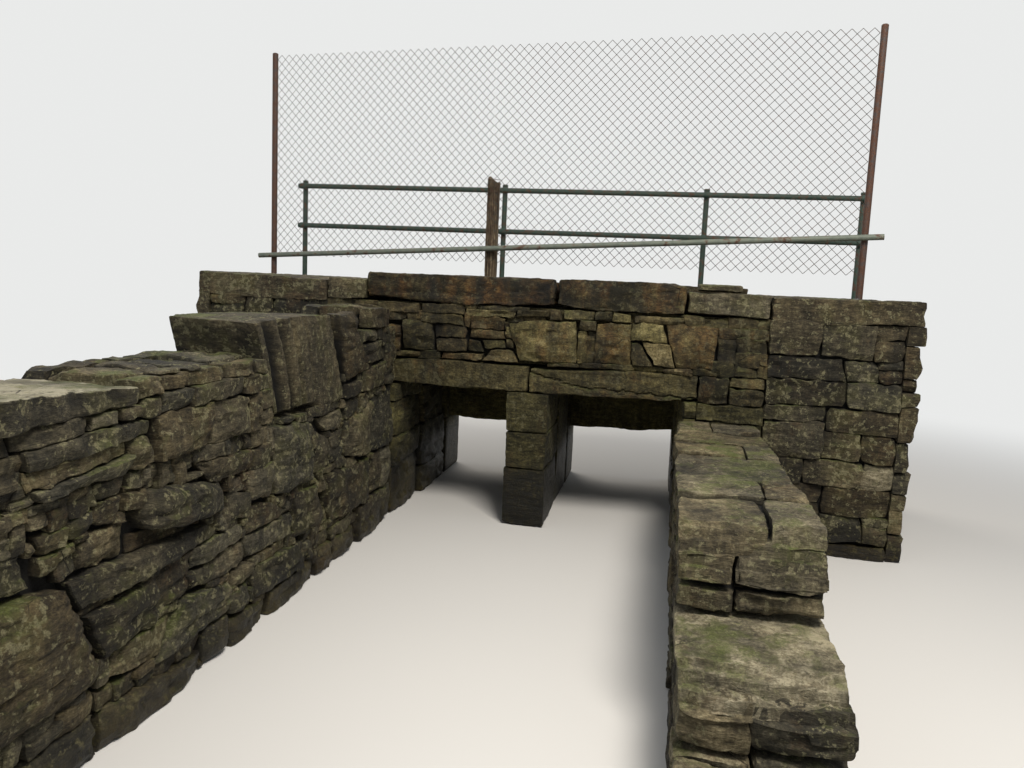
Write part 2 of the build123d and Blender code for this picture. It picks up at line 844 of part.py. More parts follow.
# Chain link fence across the crest
fence_left_y = headwall_face + fence_left_from_face
fence_right_y = headwall_face + fence_right_from_face
fence_run = hypot(fence_right_x - fence_left_x, fence_right_y - fence_left_y)
fence_angle = degrees(atan2(fence_right_y - fence_left_y, fence_right_x - fence_left_x))
fence_top = deck_top + fence_height
rail_slope = degrees(atan2(rail_right_height - rail_left_height, fence_run))
stub_run = stub_share * fence_run
mesh_middle = (deck_top + rail_left_height + fence_top) / 2
mesh_height = fence_top - deck_top - rail_left_height

fence_plane = Plane(
    origin=(fence_left_x, fence_left_y, 0),
    x_dir=(cos(radians(fence_angle)), sin(radians(fence_angle)), 0),
    z_dir=(sin(radians(fence_angle)), -cos(radians(fence_angle)), 0),
)
stub_foot = fence_plane.from_local_coords((stub_run, 0, -(wire_thickness + stub_width) / 2))
rail_plane = Plane(
    origin=fence_plane.from_local_coords(
        (0, deck_top + rail_left_height, (post_diameter + rail_diameter) / 2 + clearance)
    ),
    x_dir=fence_plane.z_dir,
    z_dir=fence_plane.x_dir * cos(radians(rail_slope)) + fence_plane.y_dir * sin(radians(rail_slope)),
)

with BuildPart() as fence_post_left:
    with BuildSketch(Plane.XY.offset(deck_top)):
        with Locations((fence_left_x, fence_left_y)):
            Circle(post_diameter / 2)
    extrude(amount=fence_height)
    chamfer(fence_post_left.faces().sort_by(Axis.Z)[-1].edges(), worn_small)
fence_post_left.part.label = "fence_post_left"
export_step(fence_post_left.part, "parts/fence_post_left.step")

with BuildPart() as fence_post_right:
    with BuildSketch(Plane.XY.offset(deck_top)):
        with Locations((fence_right_x, fence_right_y)):
            Circle(post_diameter / 2)
    extrude(amount=fence_height)
    chamfer(fence_post_right.faces().sort_by(Axis.Z)[-1].edges(), worn_small)
fence_post_right.part.label = "fence_post_right"
export_step(fence_post_right.part, "parts/fence_post_right.step")

with BuildPart() as fence_post_middle:
    with BuildSketch(Plane.XY.offset(deck_top)):
        with Locations((stub_foot.X, stub_foot.Y)):
            Rectangle(stub_width, stub_width, rotation=fence_angle)
    extrude(amount=stub_height)
    chamfer(fence_post_middle.faces().sort_by(Axis.Z)[-1].edges(), worn)
fence_post_middle.part.label = "fence_post_middle"
export_step(fence_post_middle.part, "parts/fence_post_middle.step")

left_mesh_start = post_diameter / 2
left_mesh_end = stub_run
left_mesh_middle = (left_mesh_start + left_mesh_end) / 2
left_mesh_length = left_mesh_end - left_mesh_start

with BuildPart() as fence_mesh_left:
    with BuildSketch(fence_plane.offset(-wire_thickness / 2)):
        with Locations((left_mesh_middle, mesh_middle)):
            with GridLocations(wire_pitch, 0, mesh_bars, 1):
                Rectangle(2 * mesh_height, wire_width, rotation=45)
                Rectangle(2 * mesh_height, wire_width, rotation=-45)
            Rectangle(left_mesh_length, mesh_height, mode=Mode.INTERSECT)
            with GridLocations(0, mesh_height - wire_width, 1, 2):
                Rectangle(left_mesh_length, wire_width)
            with GridLocations(left_mesh_length - wire_width, 0, 2, 1):
                Rectangle(wire_width, mesh_height)
    extrude(amount=wire_thickness)
fence_mesh_left.part.label = "fence_mesh_left"
export_step(fence_mesh_left.part, "parts/fence_mesh_left.step")

right_mesh_start = stub_run
right_mesh_end = fence_run - post_diameter / 2
right_mesh_middle = (right_mesh_start + right_mesh_end) / 2
right_mesh_length = right_mesh_end - right_mesh_start

with BuildPart() as fence_mesh_right:
    with BuildSketch(fence_plane.offset(-wire_thickness / 2)):
        with Locations((right_mesh_middle, mesh_middle)):
            with GridLocations(wire_pitch, 0, mesh_bars, 1):
                Rectangle(2 * mesh_height, wire_width, rotation=45)
                Rectangle(2 * mesh_height, wire_width, rotation=-45)
            Rectangle(right_mesh_length, mesh_height, mode=Mode.INTERSECT)
            with GridLocations(0, mesh_height - wire_width, 1, 2):
                Rectangle(right_mesh_length, wire_width)
            with GridLocations(right_mesh_length - wire_width, 0, 2, 1):
                Rectangle(wire_width, mesh_height)
    extrude(amount=wire_thickness)
fence_mesh_right.part.label = "fence_mesh_right"
export_step(fence_mesh_right.part, "parts/fence_mesh_right.step")

# The leaning pipe at the foot of the fence, tied on its downstream side
with BuildPart() as fence_bottom_rail:
    with BuildSketch(rail_plane.offset(-rail_overhang)):
        Circle(rail_diameter / 2)
    extrude(amount=fence_run / cos(radians(rail_slope)) + 2 * rail_overhang)
fence_bottom_rail.part.label = "fence_bottom_rail"
export_step(fence_bottom_rail.part, "parts/fence_bottom_rail.step")

# Two rail pipe railing along the upstream coping
railing_y = upstream_face - railing_from_rear
railing_left_x = railing_end_inset - half_width
railing_right_x = half_width - railing_end_inset
railing_top = crest + railing_height
railing_middle = crest + railing_middle_height
rail_y = railing_y - post_diameter - clearance

with BuildPart() as railing_post_left:
    with BuildSketch(Plane.XY.offset(deck_top)):
        with Locations((railing_left_x, railing_y)):
            Circle(post_diameter / 2)
    extrude(amount=railing_top - deck_top)
    chamfer(railing_post_left.faces().sort_by(Axis.Z)[-1].edges(), worn_small)
railing_post_left.part.label = "railing_post_left"
export_step(railing_post_left.part, "parts/railing_post_left.step")

with BuildPart() as railing_post_second:
    with BuildSketch(Plane.XY.offset(crest)):
        with Locations((railing_second_x, railing_y)):
            Circle(post_diameter / 2)
    extrude(amount=railing_top - crest)
    chamfer(railing_post_second.faces().sort_by(Axis.Z)[-1].edges(), worn_small)
railing_post_second.part.label = "railing_post_second"
export_step(railing_post_second.part, "parts/railing_post_second.step")

with BuildPart() as railing_post_third:
    with BuildSketch(Plane.XY.offset(crest)):
        with Locations((railing_third_x, railing_y)):
            Circle(post_diameter / 2)
    extrude(amount=railing_top - crest)
    chamfer(railing_post_third.faces().sort_by(Axis.Z)[-1].edges(), worn_small)
railing_post_third.part.label = "railing_post_third"
export_step(railing_post_third.part, "parts/railing_post_third.step")

with BuildPart() as railing_post_right:
    with BuildSketch(Plane.XY.offset(deck_top)):
        with Locations((railing_right_x, railing_y)):
            Circle(post_diameter / 2)
    extrude(amount=railing_top - deck_top)
    chamfer(railing_post_right.faces().sort_by(Axis.Z)[-1].edges(), worn_small)
railing_post_right.part.label = "railing_post_right"
export_step(railing_post_right.part, "parts/railing_post_right.step")

with BuildPart() as railing_top_rail:
    with BuildSketch(Plane.YZ.offset(railing_left_x - post_diameter)):
        with Locations((rail_y, railing_top - post_diameter)):
            Circle(post_diameter / 2)
    extrude(amount=railing_right_x - railing_left_x + 2 * post_diameter)
railing_top_rail.part.label = "railing_top_rail"
export_step(railing_top_rail.part, "parts/railing_top_rail.step")

with BuildPart() as railing_middle_rail:
    with BuildSketch(Plane.YZ.offset(railing_left_x - post_diameter)):
        with Locations((rail_y, railing_middle)):
            Circle(post_diameter / 2)
    extrude(amount=railing_right_x - railing_left_x + 2 * post_diameter)
railing_middle_rail.part.label = "railing_middle_rail"
export_step(railing_middle_rail.part, "parts/railing_middle_rail.step")
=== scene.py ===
# %% [markdown]
# # A stone sluiceway
# Two culverts run under a dry stone headwall. Stop-log slots at their upstream ends can close them.
# Wing walls hold the banks of the channel below, and a fence and a railing guard the crest.
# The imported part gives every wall, slab and post its place. This script gives them their surfaces.

import math

import bmesh
import bpy
import numpy as np
from mathutils import Matrix, Vector
from mathutils.bvhtree import BVHTree


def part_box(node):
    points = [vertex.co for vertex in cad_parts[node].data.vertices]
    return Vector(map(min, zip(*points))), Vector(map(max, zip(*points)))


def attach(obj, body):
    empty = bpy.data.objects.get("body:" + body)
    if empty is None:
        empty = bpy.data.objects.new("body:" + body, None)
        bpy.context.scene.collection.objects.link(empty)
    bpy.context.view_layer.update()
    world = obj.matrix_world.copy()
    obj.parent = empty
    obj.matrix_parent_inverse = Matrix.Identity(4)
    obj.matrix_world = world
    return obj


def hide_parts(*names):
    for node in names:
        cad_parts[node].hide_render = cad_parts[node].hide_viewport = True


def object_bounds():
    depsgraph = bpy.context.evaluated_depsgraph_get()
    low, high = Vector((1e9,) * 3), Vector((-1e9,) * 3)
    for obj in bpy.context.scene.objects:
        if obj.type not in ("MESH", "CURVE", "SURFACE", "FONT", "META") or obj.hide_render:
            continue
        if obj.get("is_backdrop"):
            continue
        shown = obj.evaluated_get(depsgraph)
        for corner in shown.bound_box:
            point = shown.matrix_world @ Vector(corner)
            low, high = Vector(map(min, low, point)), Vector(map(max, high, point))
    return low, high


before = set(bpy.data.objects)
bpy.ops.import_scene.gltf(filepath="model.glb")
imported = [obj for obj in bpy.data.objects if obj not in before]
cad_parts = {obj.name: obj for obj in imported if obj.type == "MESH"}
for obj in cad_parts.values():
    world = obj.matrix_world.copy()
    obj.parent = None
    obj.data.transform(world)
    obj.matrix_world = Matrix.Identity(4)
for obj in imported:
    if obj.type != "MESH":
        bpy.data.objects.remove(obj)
CAD_LOW, CAD_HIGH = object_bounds()
bpy.context.scene.view_settings.view_transform = "Standard"
print("packed part:", [round(v, 3) for v in (*CAD_LOW, *CAD_HIGH)])

# %% [markdown]
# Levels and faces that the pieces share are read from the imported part, so nothing here is fitted twice.

# %% Faces and levels, in metres
MM = 0.001
HEAD_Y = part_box("left_lintel")[0].y
LEFT_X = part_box("left_wing_wall")[1].x
LINTEL_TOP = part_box("left_lintel")[1].z
COPING_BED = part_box("left_coping")[0].z
print("headwall's face at", round(HEAD_Y, 3), "left wall's face at", round(LEFT_X, 3))

# %% [markdown]
# The camera stands on the left of the channel's middle and looks up it, slightly down and to the left.
# Its place and turn were worked out once from the vanishing lines of the walls, as a direction for each
# side of the picture, and the lens from the same lines.

# %% Camera
EYE = Vector((0.954, -4.75, 1.844))
YAW, PITCH, ROLL = math.radians(10.34), math.radians(-7.09), math.radians(2.53)
LENS, SENSOR = 28.09, 36.0
bpy.ops.object.camera_add(location=EYE)
camera = bpy.context.object
turn = Matrix.Rotation(YAW, 3, "Z") @ Matrix.Rotation(math.pi / 2 + PITCH, 3, "X")
camera.rotation_euler = (turn @ Matrix.Rotation(ROLL, 3, "Z")).to_euler()
camera.data.lens = LENS
camera.data.sensor_width = SENSOR
bpy.context.scene.camera = camera
print("camera at", tuple(EYE))

# %% [markdown]
# The studio is a pale floor and a pale sky, with wide soft lamps. What the camera sees of the floor and
# the sky is nearly white, while the light that falls on the stone stays at a plain level.


# %% One function turns hex colours linear, one adds a node
def linear(colour):
    """An sRGB colour such as #7f7a6b as the linear numbers that a shader takes."""
    parts = [int(colour[place : place + 2], 16) / 255 for place in (1, 3, 5)]
    return [p / 12.92 if p <= 0.04045 else ((p + 0.055) / 1.055) ** 2.4 for p in parts] + [1.0]


def add(tree, kind, values):
    """Adds one shader node. Values are its properties, a ramp's stops, and what its inputs are or link to."""
    node = tree.nodes.new("ShaderNode" + kind)
    for key, value in values.items():
        if isinstance(value, bpy.types.Node):
            value = value.outputs[0]
        if isinstance(value, str) and value.startswith("#"):
            value = linear(value)
        if isinstance(value, bpy.types.NodeSocket):
            tree.links.new(value, node.inputs[key])
        elif key == "stops":
            ramp = node.color_ramp
            while len(ramp.elements) < len(value):
                ramp.elements.new(0.5)
            for element, (place, colour) in zip(ramp.elements, value):
                element.position = place
                element.color = linear(colour)
        elif isinstance(key, str) and hasattr(node, key):
            setattr(node, key, value)
        else:
            node.inputs[key].default_value = value
    return node


def new_material(name):
    """An empty material and its node tree, with nothing in it yet."""
    material = bpy.data.materials.new(name)
    material.use_nodes = True
    tree = material.node_tree
    tree.nodes.clear()
    return material, tree


def seen_ray(tree):
    """A mask of the rays that see the backdrop: the camera's, and those that shiny and clear things send."""
    rays = add(tree, "LightPath", {}).outputs
    shiny = {"operation": "MAXIMUM", 0: rays["Is Glossy Ray"], 1: rays["Is Transmission Ray"]}
    return add(tree, "Math", {"operation": "MAXIMUM", 0: rays["Is Camera Ray"], 1: add(tree, "Math", shiny)})


print("colours and nodes ready")

# %% Floor, sky and lamps
FLOOR_SIZE = 80.0
BACKDROP = {"Color": "#f1f2f1", "Strength": 0.93}
SKY_LIGHT = {"Color": "#e9edf2", "Strength": 0.42}
FADE_START, FADE_END = 4.2, 11.0
bpy.ops.object.select_all(action="DESELECT")
bpy.ops.mesh.primitive_plane_add(size=FLOOR_SIZE, location=(0, 0, -1 * MM))
floor = bpy.context.object
floor.name = "floor"
floor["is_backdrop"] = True
floor_paint, tree = new_material("pale_studio_floor")
place = add(tree, "TexCoord", {}).outputs["Object"]
reach = add(tree, "VectorMath", {"operation": "LENGTH", 0: place}).outputs["Value"]
fade = add(tree, "MapRange", {"Value": reach, "From Min": FADE_START, "From Max": FADE_END,
                              "interpolation_type": "SMOOTHSTEP"})
matt = add(tree, "BsdfDiffuse", {"Color": "#c4c2bd"})
near = add(tree, "BsdfDiffuse", {"Color": "#dcdad6"})
shown = add(tree, "MixShader", {0: fade, 1: near, 2: add(tree, "Emission", BACKDROP)})
either = add(tree, "MixShader", {0: seen_ray(tree), 1: matt, 2: shown})
add(tree, "OutputMaterial", {"Surface": either})
floor.data.materials.append(floor_paint)

world = bpy.data.worlds.new("studio_sky")
bpy.context.scene.world = world
world.use_nodes = True
tree = world.node_tree
tree.nodes.clear()
soft, pale = (add(tree, "Background", light) for light in (SKY_LIGHT, BACKDROP))
sky = add(tree, "MixShader", {0: seen_ray(tree), 1: soft, 2: pale})
add(tree, "OutputWorld", {"Surface": sky})

# Each lamp: its name, its place and what it is aimed at, its size in metres, its power in watts, its colour.
for name, place, target, size, power, colour in (
    ("key_lamp", (2.4, -3.5, 6.8), (-0.2, 0.2, 0.9), 2.2, 540, "#fff9f0"),
    ("fill_lamp", (-5.5, -6.0, 4.0), (0.5, 0.8, 0.6), 4.0, 90, "#e6eefa"),
    ("back_lamp", (-3.0, 7.5, 6.0), (0.0, 1.5, 1.5), 4.0, 200, "#fff6ea"),
):
    bpy.ops.object.light_add(type="AREA", location=place)
    light = bpy.context.object
    light.name = name
    light.data.size = size
    light.data.energy = power
    light.data.color = linear(colour)[:3]
    light.rotation_euler = (Vector(target) - Vector(place)).to_track_quat("-Z", "Y").to_euler()
print("studio ready")

# %% [markdown]
# The stone is schist, split along its flat grain and hardly dressed. It is dull and rough, grey to olive
# brown. Its beds lie flat, so every pattern in it is several times wider than it is high. Grey-green
# lichen dots it, black algae and brown rust have run down it, moss grows on its ledges, soil and painted
# shade darken what lies deep in its joints, and along the water it is dark and wet. Each stone has its
# own tone and warmth, kept with its points. Patterns follow object coordinates, and their sizes are in
# metres.


# %% The split schist
# Each pattern: the space it lies in, its size in metres, detail and roughness, and a fourth coordinate that
# keeps it apart from the others. The grain and pits of real schist are a few millimetres across at most,
# and are drawn several times as coarse to show.
PATTERNS = (
    ("shaken", 0.35, 6, 0.62, 0),  # broad clouds
    ("bedded", 0.10, 9, 0.72, 0),  # mottle along the beds
    ("bedded", 0.018, 4, 0.75, 0),  # grain
    ("place", 0.007, 2, 0.60, 0),  # specks in lichen and moss
    ("hanging", 0.024, 5, 0.60, 9),  # fine streaks
    ("place", 0.013, 6, 0.70, 11),  # pits
    ("hanging", 0.09, 6, 0.66, 0),  # runs of rust
    ("place", 0.30, 7, 0.70, 7),  # films of rust
    ("hanging", 0.11, 7, 0.62, 2),  # runs of black algae
    ("place", 0.22, 8, 0.72, 3),  # patches of lichen and moss
    ("place", 0.030, 5, 0.65, 5),  # crusts of lichen
)
RUST_STOPS = [(0.56, "#1e150c"), (0.70, "#3a2918"), (0.82, "#5a3f20"), (0.96, "#7d643a")]
CRUST_STOPS = [(0.35, "#66624a"), (0.65, "#97916f")]
MOSS_STOPS = [(0.3, "#2c3314"), (0.7, "#59632b")]


def schist(name, shades, warm_shades, rust, lichen, moss, drips=0.4, wet=0.14, beds=4.0):
    """Weathered schist. Shades run from dark to pale, grey and warm. The others say how much there is."""
    material, tree = new_material(name)
    place = add(tree, "TexCoord", {}).outputs["Object"]
    tone, warm, recess, rusted = (add(tree, "Attribute", {"attribute_name": key}).outputs["Fac"]
                                  for key in ("tone", "warm", "recess", "rust"))
    shake = add(tree, "TexNoise", {"Scale": 1 / 0.30, "Detail": 2, "Vector": place}).outputs["Color"]
    shaken = add(tree, "VectorMath", {"operation": "MULTIPLY_ADD", 0: shake, 1: (0.10, 0.10, 0.05), 2: place})
    bedded = add(tree, "Mapping", {"Scale": (1, 1, beds), "Vector": shaken})
    hanging = add(tree, "Mapping", {"Scale": (1, 1, 0.18), "Vector": place})
    space = {"place": place, "shaken": shaken, "bedded": bedded, "hanging": hanging}
    broad, mottle, grain, speck, streak, pits, run, film, dark_run, patch, crust = (
        add(tree, "TexNoise", {**({"noise_dimensions": "4D", "W": apart} if apart else {}), "Scale": 1 / size,
                               "Detail": detail, "Roughness": roughness, "Vector": space[where]})
        for where, size, detail, roughness, apart in PATTERNS)
    height = add(tree, "SeparateXYZ", {0: place}).outputs["Z"]
    up = add(tree, "SeparateXYZ", {0: add(tree, "NewGeometry", {}).outputs["Normal"]}).outputs["Z"]
    bed_edge = add(tree, "TexVoronoi", {"feature": "DISTANCE_TO_EDGE", "Scale": 1 / 0.26, "Vector": bedded})

    # Patterns add up by weight, each to what a mask or a ramp below reads.
    sums = {}
    for key, total, parts in (
        ("shade", broad, ((tone, 0.26), (mottle, 1.05), (grain, 0.70), (streak, 0.40), (pits, 0.60))),
        ("warmth", warm, ((broad, 0.9),)),
        ("rust", film, ((run, 0.7), (rusted, 0.34))),
        ("rust shade", mottle, ((grain, 0.5),)),
        ("algae", dark_run, ((broad, 0.5),)),
        ("crust", crust, ((patch, 0.45),)),
        ("water line", height, ((mottle, -0.20),)),
        ("relief", mottle, ((grain, 0.38), (pits, 0.42))),
    ):
        for part, weight in parts:
            total = add(tree, "Math", {"operation": "MULTIPLY_ADD", 0: part, 1: weight, 2: total})
        sums[key] = total

    # Each mask: what it reads, where that starts and ends to count, and what the mask is there.
    limits = "From Min", "From Max", "To Min", "To Max"
    shade, warmth, rusty, algae, filmed, crusted, thin, some, ledge, mossy, soaked, soil_and_shade, dull = (
        add(tree, "MapRange", {"Value": value, **dict(zip(limits, numbers))})
        for value, *numbers in (
            (sums["shade"], 1.66, 2.46, 0, 1),
            (sums["warmth"], 0.40, 1.50, 0.1, 0.9),
            (sums["rust"], 0.98, 1.22, 0, rust),
            (sums["algae"], 0.86 - 0.14 * drips, 1.0 - 0.10 * drips, 0, 0.3 + 0.6 * drips),
            (patch, 0.50, 0.66, 0, 0.60 * lichen),
            (sums["crust"], 0.78, 0.83, 0, 0.72 * lichen),
            (bed_edge, 0.003, 0.014, 1, 0),
            (film, 0.52, 0.60, 0, 1),
            (up, 0.25, 0.9, 0, 1),
            (patch, 0.50, 0.62, 0, moss),
            (sums["water line"], wet, wet - 0.16, 0, 1),
            # Painted shade, with some soil, where points lie deep in joints and hollows.
            (recess, 0.10, 0.90, 0, 1),
            (mottle, 0, 1, 0.98, 0.70),
        ))
    crack, moss_here = (add(tree, "Math", {"operation": "MULTIPLY", 0: one, 1: other})
                        for one, other in ((thin, some), (ledge, mossy)))
    dark_crack = add(tree, "Math", {"operation": "MULTIPLY", 0: crack, 1: 0.85})

    places = [0.05 + 0.90 * n / (len(shades) - 1) for n in range(len(shades))]
    grey, brown, rust_colour, crust_colour, moss_colour = (
        add(tree, "ValToRGB", {"stops": stops, 0: value})
        for value, stops in ((shade, list(zip(places, shades))), (shade, list(zip(places, warm_shades))),
                             (sums["rust shade"], RUST_STOPS), (speck, CRUST_STOPS), (speck, MOSS_STOPS)))
    colour = grey
    for mask, stain, blend in (
        (warmth, brown, "MIX"),
        (rusty, rust_colour, "MIX"),  # rust in films over whole faces, and in streaks from the ledges
        (algae, "#1b1a15", "MIX"),  # black algae, which hang down in streaks too
        (filmed, "#524f2c", "MIX"),  # a dull olive film of lichen
        (crusted, crust_colour, "MIX"),  # grey-green crusts of it in small blots
        (dark_crack, "#1a1813", "MIX"),  # thin cracks between the beds
        (moss_here, moss_colour, "MIX"),  # moss, only on what faces up
        (soaked, "#979070", "MULTIPLY"),  # wet below an uneven water line
        (soil_and_shade, "#0d0c09", "MIX"),  # soil and shade deep in the joints
    ):
        settings = {"data_type": "RGBA", "blend_type": blend}
        colour = add(tree, "Mix", {**settings, 0: mask, 6: colour, 7: stain}).outputs[2]

    rough = add(tree, "Mix", {"data_type": "FLOAT", 0: soaked, 2: dull, 3: 0.52})
    relief = add(tree, "Math", {"operation": "MULTIPLY_ADD", 0: crack, 1: -0.55, 2: sums["relief"]})
    bump = add(tree, "Bump", {"Strength": 1.0, "Distance": 13 * MM, "Height": relief})
    shader = add(tree, "BsdfPrincipled", {"Specular IOR Level": 0.3, "Base Color": colour, "Roughness": rough,
                                          "Normal": bump})
    add(tree, "OutputMaterial", {"Surface": shader})
    return material


GREY_SHADES = ["#191813", "#2c2b23", "#403e34", "#565346", "#726e5e", "#9a9582"]
BROWN_SHADES = ["#1b170e", "#322a1b", "#473d29", "#605439", "#7e7050", "#a79973"]
OLIVE_SHADES = ["#19180c", "#2f2c18", "#454026", "#5e5834", "#7c7449", "#a2996b"]
rubble_schist = schist("split_schist_rubble", GREY_SHADES, BROWN_SHADES, rust=0.5, lichen=0.85, moss=0.7,
                       drips=0.6)
rusty_schist = schist("rusty_dressed_schist", OLIVE_SHADES, BROWN_SHADES, rust=0.9, lichen=0.3, moss=0.5,
                      drips=0.95, beds=2.0)
stained_schist = schist("stained_headwall_schist", OLIVE_SHADES, BROWN_SHADES, rust=0.7, lichen=0.35,
                        moss=0.6, drips=0.8, beds=2.0)
culvert_schist = schist("damp_culvert_schist", OLIVE_SHADES, OLIVE_SHADES, rust=0.3, lichen=0.4, moss=0.5,
                        wet=0.45)
print("stone materials ready")

# %% [markdown]
# Every stone starts as a unit cube, cut into cells along each edge, and kept as a blank. A blank's front
# looks along -Y. Laying a stone copies a blank and moves its points to the stone's outline on the wall,
# so that neighbours of any shape share a few blanks. The hidden back stays one face.

# %% Blanks
BLANKS = {}
FACING = 0.9


def runs_along(edge, axis):
    """Whether an edge lies along one of the three axes."""
    return abs((edge.verts[1].co - edge.verts[0].co).normalized()[axis]) > FACING


def select_in_edit(piece, edges=None, faces=None):
    """In edit mode, selects just the edges or faces for which the test is true."""
    bpy.ops.mesh.select_mode(type="EDGE" if edges else "FACE")
    bpy.ops.mesh.select_all(action="DESELECT")
    shape = bmesh.from_edit_mesh(piece.data)
    for item in shape.edges if edges else shape.faces:
        if (edges or faces)(item):
            item.select_set(True)
    bmesh.update_edit_mesh(piece.data)


def blank(wide, deep, tall, open_back=False):
    """The mesh of a unit cube in cells, made the first time it is asked for."""
    key = (wide, deep, tall, open_back)
    if key in BLANKS:
        return BLANKS[key]
    bpy.ops.object.select_all(action="DESELECT")
    bpy.ops.mesh.primitive_cube_add(size=1, location=(0.5, 0.5, 0.5))
    cube = bpy.context.object
    bpy.ops.object.transform_apply()
    bpy.ops.object.mode_set(mode="EDIT")
    for axis, cells in enumerate((wide, deep, tall)):
        if cells > 1:
            select_in_edit(cube, edges=lambda edge: runs_along(edge, axis))
            bpy.ops.mesh.subdivide(number_cuts=cells - 1)
    if open_back:
        select_in_edit(cube, faces=lambda f: f.normal.y > FACING)
        bpy.ops.mesh.dissolve_faces()
    bpy.ops.object.mode_set(mode="OBJECT")
    mesh = cube.data
    mesh.use_fake_user = True
    bpy.data.objects.remove(cube)
    BLANKS[key] = mesh
    return mesh


def points_of(mesh, what="co"):
    """The places, or the normals, of a mesh's points, one row each."""
    values = np.empty(len(mesh.vertices) * 3)
    mesh.vertices.foreach_get(what, values)
    return values.reshape(-1, 3)


def cells_along(length, spacing):
    """How many cells of about this spacing fit, in even numbers so that blanks are shared."""
    return max(4, 2 * round(length / spacing / 2))


def crisp(unit, cells, margin):
    """Moves the outermost cells' inner lines to a margin from the edge, so that arrises stay sharp."""
    margin = min(0.2, margin)
    line = np.rint(unit * cells)
    inner = margin + (line - 1) / (cells - 2) * (1 - 2 * margin)
    return np.where(line == 0, 0.0, np.where(line == cells, 1.0, inner))


def clouds(points, size, seed=0):
    """Smooth noise from 0 to 1 at points, with bumps of about a size, which may differ by axis."""
    grid = np.asarray(points) / size + 11.7 * (seed + 1)
    cell = np.floor(grid).astype(np.int64)
    part = grid - cell
    part = part * part * (3 - 2 * part)
    total = np.zeros(len(grid))
    for corner in np.ndindex(2, 2, 2):
        key = (cell + corner) @ np.array((73856093, 19349663, 83492791))
        key = ((key ^ (key >> 13)) * 1274126177) & 0xFFFFFFFF
        value = ((key ^ (key >> 16)) & 0xFFFF) / 0xFFFF
        total += np.prod(np.where(np.array(corner, bool), part, 1 - part), axis=1) * value
    return total


def set_values(mesh, **values):
    """Keeps one number for each point of the mesh under each name."""
    for name, numbers in values.items():
        layer = mesh.attributes.get(name) or mesh.attributes.new(name, "FLOAT", "POINT")
        layer.data.foreach_set("value", np.broadcast_to(numbers, len(mesh.vertices)).astype(np.float32))


def to_object(name, mesh, points=None):
    """Puts a mesh into the scene at the origin, with its points moved if their places are given."""
    if points is not None:
        mesh.vertices.foreach_set("co", points.ravel())
    piece = bpy.data.objects.new(name, mesh)
    bpy.context.scene.collection.objects.link(piece)
    return piece


print("blanks are cut when a stone needs one")

# %% [markdown]
# A wall face is a place, a direction to the right and a direction up. A stone on it is four corners, and
# its look comes from the habits of split stone: flats that meet in blunt ridges, beds that broke off
# in steps, sharp arrises with bites out of them, cut corners, and a lean or a swell of its own.


# %% Faces and stones
class Face:
    """A wall face as a mason sees it, with right and up along it and out towards the mason."""

    def __init__(self, origin, right, up=(0, 0, 1)):
        self.origin = np.array(origin, float)
        self.right = np.array(right, float)
        self.up = np.array(up, float)
        self.out = np.cross(self.right, self.up)

    def points(self, along, height, out):
        return (self.origin + np.outer(along, self.right) + np.outer(height, self.up)
                + np.outer(out, self.out))


def rectangle(left, low, right, high):
    """Four corners from the lower left anticlockwise."""
    return [(left, low), (right, low), (right, high), (left, high)]


SPLIT_SLOPE, FLAT_SHARE = (0.07, 0.34), (0.10, 0.40)


def split_relief(along, height, size, chance, strength):
    """How far a split face falls back from its high flat, as flats that meet. It is never above nought."""
    fall = np.zeros_like(along)
    for _ in range(int(chance.integers(3, 6))):
        turn = chance.uniform(0, 2 * math.pi)
        slope = chance.uniform(*SPLIT_SLOPE) * strength
        start = chance.uniform(*FLAT_SHARE) * size
        reach = along * math.cos(turn) + height * math.sin(turn) - start
        fall = np.minimum(fall, -slope * np.maximum(reach, 0))
    return fall


BED_SIZES = (0.20, 0.20, 0.045), (0.06, 0.06, 0.02)
ROUGH_SIZES = (0.045, 0.045, 0.022), (0.018, 0.018, 0.012)
BREAKS, BREAK_WIDTH = (0.66, 0.88), 0.05
BED_STEP, BED_ROUGHNESS = 11 * MM, 6 * MM


def broken_beds(points, strength, seed):
    """How far beds have broken off and the surface has weathered back, at points on a split face."""
    bed = clouds(points, BED_SIZES[0], seed) + 0.35 * clouds(points, BED_SIZES[1], seed + 1)
    step = sum(np.clip((bed - level) / BREAK_WIDTH, 0, 1) for level in BREAKS)
    rough = clouds(points, ROUGH_SIZES[0], seed + 2) + 0.5 * clouds(points, ROUGH_SIZES[1], seed + 3)
    return -strength * (BED_STEP * step + BED_ROUGHNESS * rough)


def bites(points, reach, seed):
    """How far an arris is bitten back along its length."""
    line = clouds(points, 0.05, seed) + 0.5 * clouds(points, 0.018, seed + 1)
    return reach * np.clip((line - 0.55) / 0.6, 0, 1)


ARRIS = 5 * MM
SIDE_CELLS = 3
BITTEN, BITTEN_SHARE = 0.012, 0.12
LEAN = 0.04
CORNER_CUT = 2.2
DEEPEST_FALL, SIDE_FADE = 0.3, 1.7
SKIN = 0.12
CORE_SPACING = 0.12


